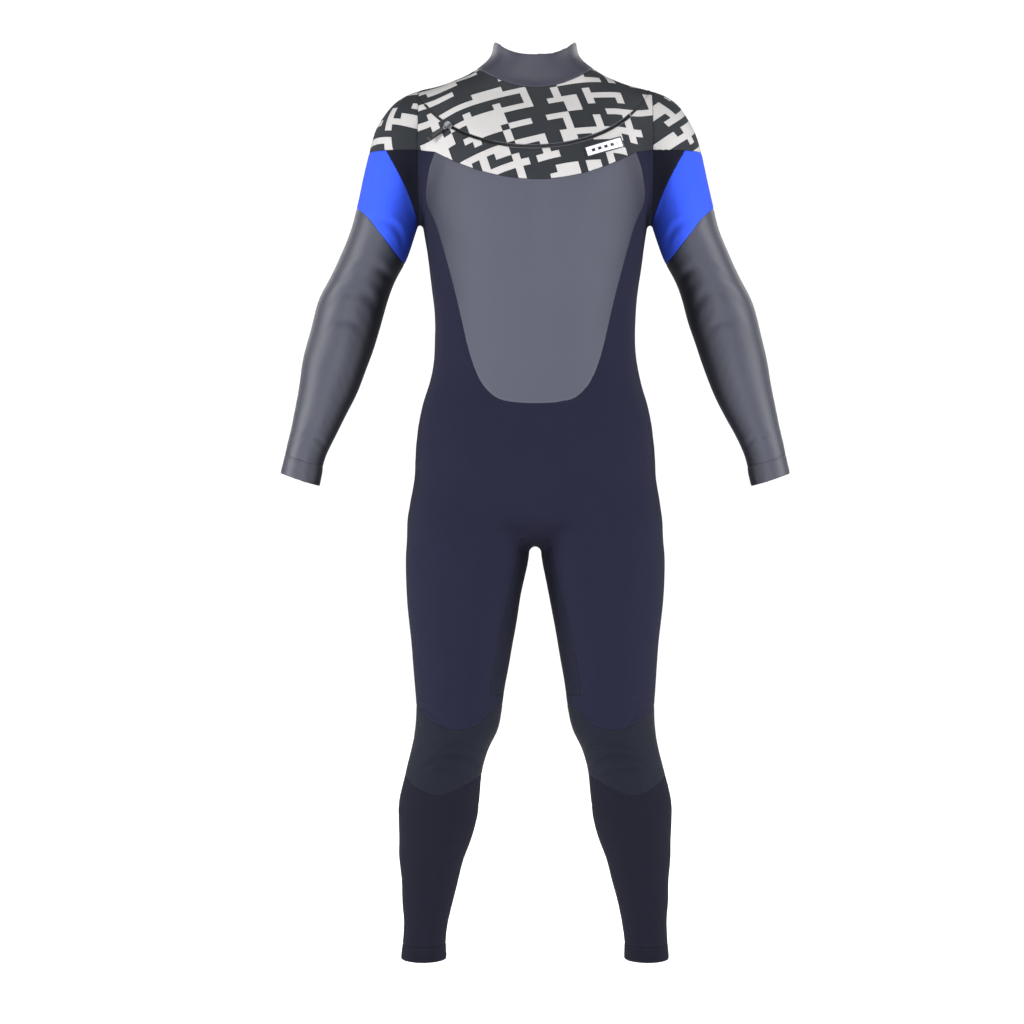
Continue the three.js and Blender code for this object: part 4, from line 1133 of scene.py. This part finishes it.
# Beyond the coil the two halves of the yoke meet under a narrow welded cover strip, up to the armhole.
shared = np.intersect1d(skin_faces[panels["yoke_above_zip"]], skin_faces[panels["yoke_below_zip"]])
strip_section = ((-0.0022, -0.0004), (-0.0019, 0.0004), (-0.0008, 0.0003), (0.0008, 0.0003), (0.0019, 0.0004),
                 (0.0022, -0.0004))
for name, side in (("cover_strip_left", 1), ("cover_strip_right", -1)):
    line = shared[skin_points[shared, 0] * side > 0.10]
    line = line[np.argsort(skin_points[line, 0])]
    path, lifts = skin_points[line] - (0, 0, SHOULDER), outward[line]
    for step in range(6):
        path[1:-1] = (path[:-2] + 2 * path[1:-1] + path[2:]) / 4
        lifts[1:-1] = (lifts[:-2] + 2 * lifts[1:-1] + lifts[2:]) / 4
    ahead = np.gradient(path, axis=0)
    sideways = np.cross(lifts, ahead)
    sideways /= np.linalg.norm(sideways, axis=1)[:, None]
    points = np.stack([path + sideways * a + lifts * b for a, b in strip_section], 1).reshape(-1, 3)
    count = len(strip_section)
    faces = [tuple(range(count)), tuple(reversed(range(len(points) - count, len(points))))]
    for i in range(len(path) - 1):
        for k in range(count):
            a, b = i * count + k, i * count + (k + 1) % count
            faces.append((a, a + count, b + count, b))
    strip = mesh_object(name, points.tolist(), faces)
    face_outward(strip)
    bpy.ops.object.shade_smooth_by_angle(angle=math.radians(50))
    strip.data.materials.append(tape_weave)
    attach(strip, "torso")

# Slider, loop, stops, pull and storm flap keep their own shapes and get a finer finish.
finishes = {name: cast_metal for name in ("zip_slider", "pull_loop", "zip_top_stop_upper", "zip_top_stop_lower",
                                          "zip_bottom_stop")}
finishes.update(zip_pull=pull_rubber, storm_flap=lining_knit)
for name, finish in finishes.items():
    node = frame["nodes"][name]
    node.data.materials.clear()
    node.data.materials.append(finish)

# ---------------------------------------------------------------- chest label
# A heat-set tab of white film with a dark line round it, pressed onto the yoke below the zip. It has a row
# of plain dashes and no wording.

surface = bvhtree.BVHTree.FromObject(bpy.data.objects["suit_yoke_below_zip"],
                                     bpy.context.evaluated_depsgraph_get())
LABEL_WIDE, LABEL_HIGH, LABEL_LEAN = 0.062, 0.018, math.radians(18)
label_middle = Vector((0.107, 0, 1.289 - SHOULDER))
columns, rows = 40, 14
points, faces, places = [], [], []
for j in range(rows + 1):
    for i in range(columns + 1):
        u, v = (i / columns - 0.5) * LABEL_WIDE, (j / rows - 0.5) * LABEL_HIGH
        x = label_middle.x + u * math.cos(LABEL_LEAN) - v * math.sin(LABEL_LEAN)
        z = label_middle.z + u * math.sin(LABEL_LEAN) + v * math.cos(LABEL_LEAN)
        hit = surface.ray_cast(Vector((x, -1, z)), Vector((0, 1, 0)))[0]
        if hit is None:  # over the slot: as deep as the point before
            hit = Vector((x, points[-1][1] if points else -0.1, z))
        points.append(tuple(hit + Vector((0, -0.0007, 0))))
        places.append((i / columns, j / rows))
for j in range(rows):
    for i in range(columns):
        a = j * (columns + 1) + i
        faces.append((a, a + 1, a + columns + 2, a + columns + 1))
label = mesh_object("blank_label", points, faces)
layer = label.data.uv_layers.new(name="label")
for loop in label.data.loops:
    layer.data[loop.index].uv = places[loop.vertex_index]
film = bpy.data.materials.new("label_film")
film.use_nodes = True
tree = film.node_tree
flat = tree.nodes.new("ShaderNodeUVMap")
flat.uv_map = "label"
u, v = apart(tree, flat.outputs["UV"])[:2]
from_side, from_edge = (
    times(tree, minus(tree, 0.5, calc(tree, "ABSOLUTE", minus(tree, place, 0.5))), whole)
    for place, whole in ((u, LABEL_WIDE), (v, LABEL_HIGH))
)
border = calc(tree, "LESS_THAN", calc(tree, "MINIMUM", from_side, from_edge), 0.0022)
speckle = noise(tree, in_object(tree), 500.0, 2.0)
white = between(tree, speckle, (0.82, 0.82, 0.85, 1), (0.92, 0.92, 0.95, 1))
dash_along = calc(tree, "FRACT", times(tree, u, 6.0))
dashes = times(tree, calc(tree, "LESS_THAN", dash_along, 0.55), calc(tree, "GREATER_THAN", from_side, 0.009))
middle_band = calc(tree, "LESS_THAN", calc(tree, "ABSOLUTE", minus(tree, v, 0.5)), 0.13)
border = calc(tree, "MAXIMUM", border, times(tree, dashes, middle_band))
shader = tree.nodes["Principled BSDF"]
tree.links.new(between(tree, border, white, (0.012, 0.014, 0.035, 1)), shader.inputs["Base Color"])
shader.inputs["Roughness"].default_value = 0.42
label.data.materials.append(film)
thick = label.modifiers.new("thickness", "SOLIDIFY")
thick.thickness = 0.0005
thick.offset = 1
select_only(label)
bpy.ops.object.modifier_apply(modifier="thickness")
bpy.ops.object.shade_smooth_by_angle(angle=math.radians(40))
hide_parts("chest_label")
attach(label, "torso")
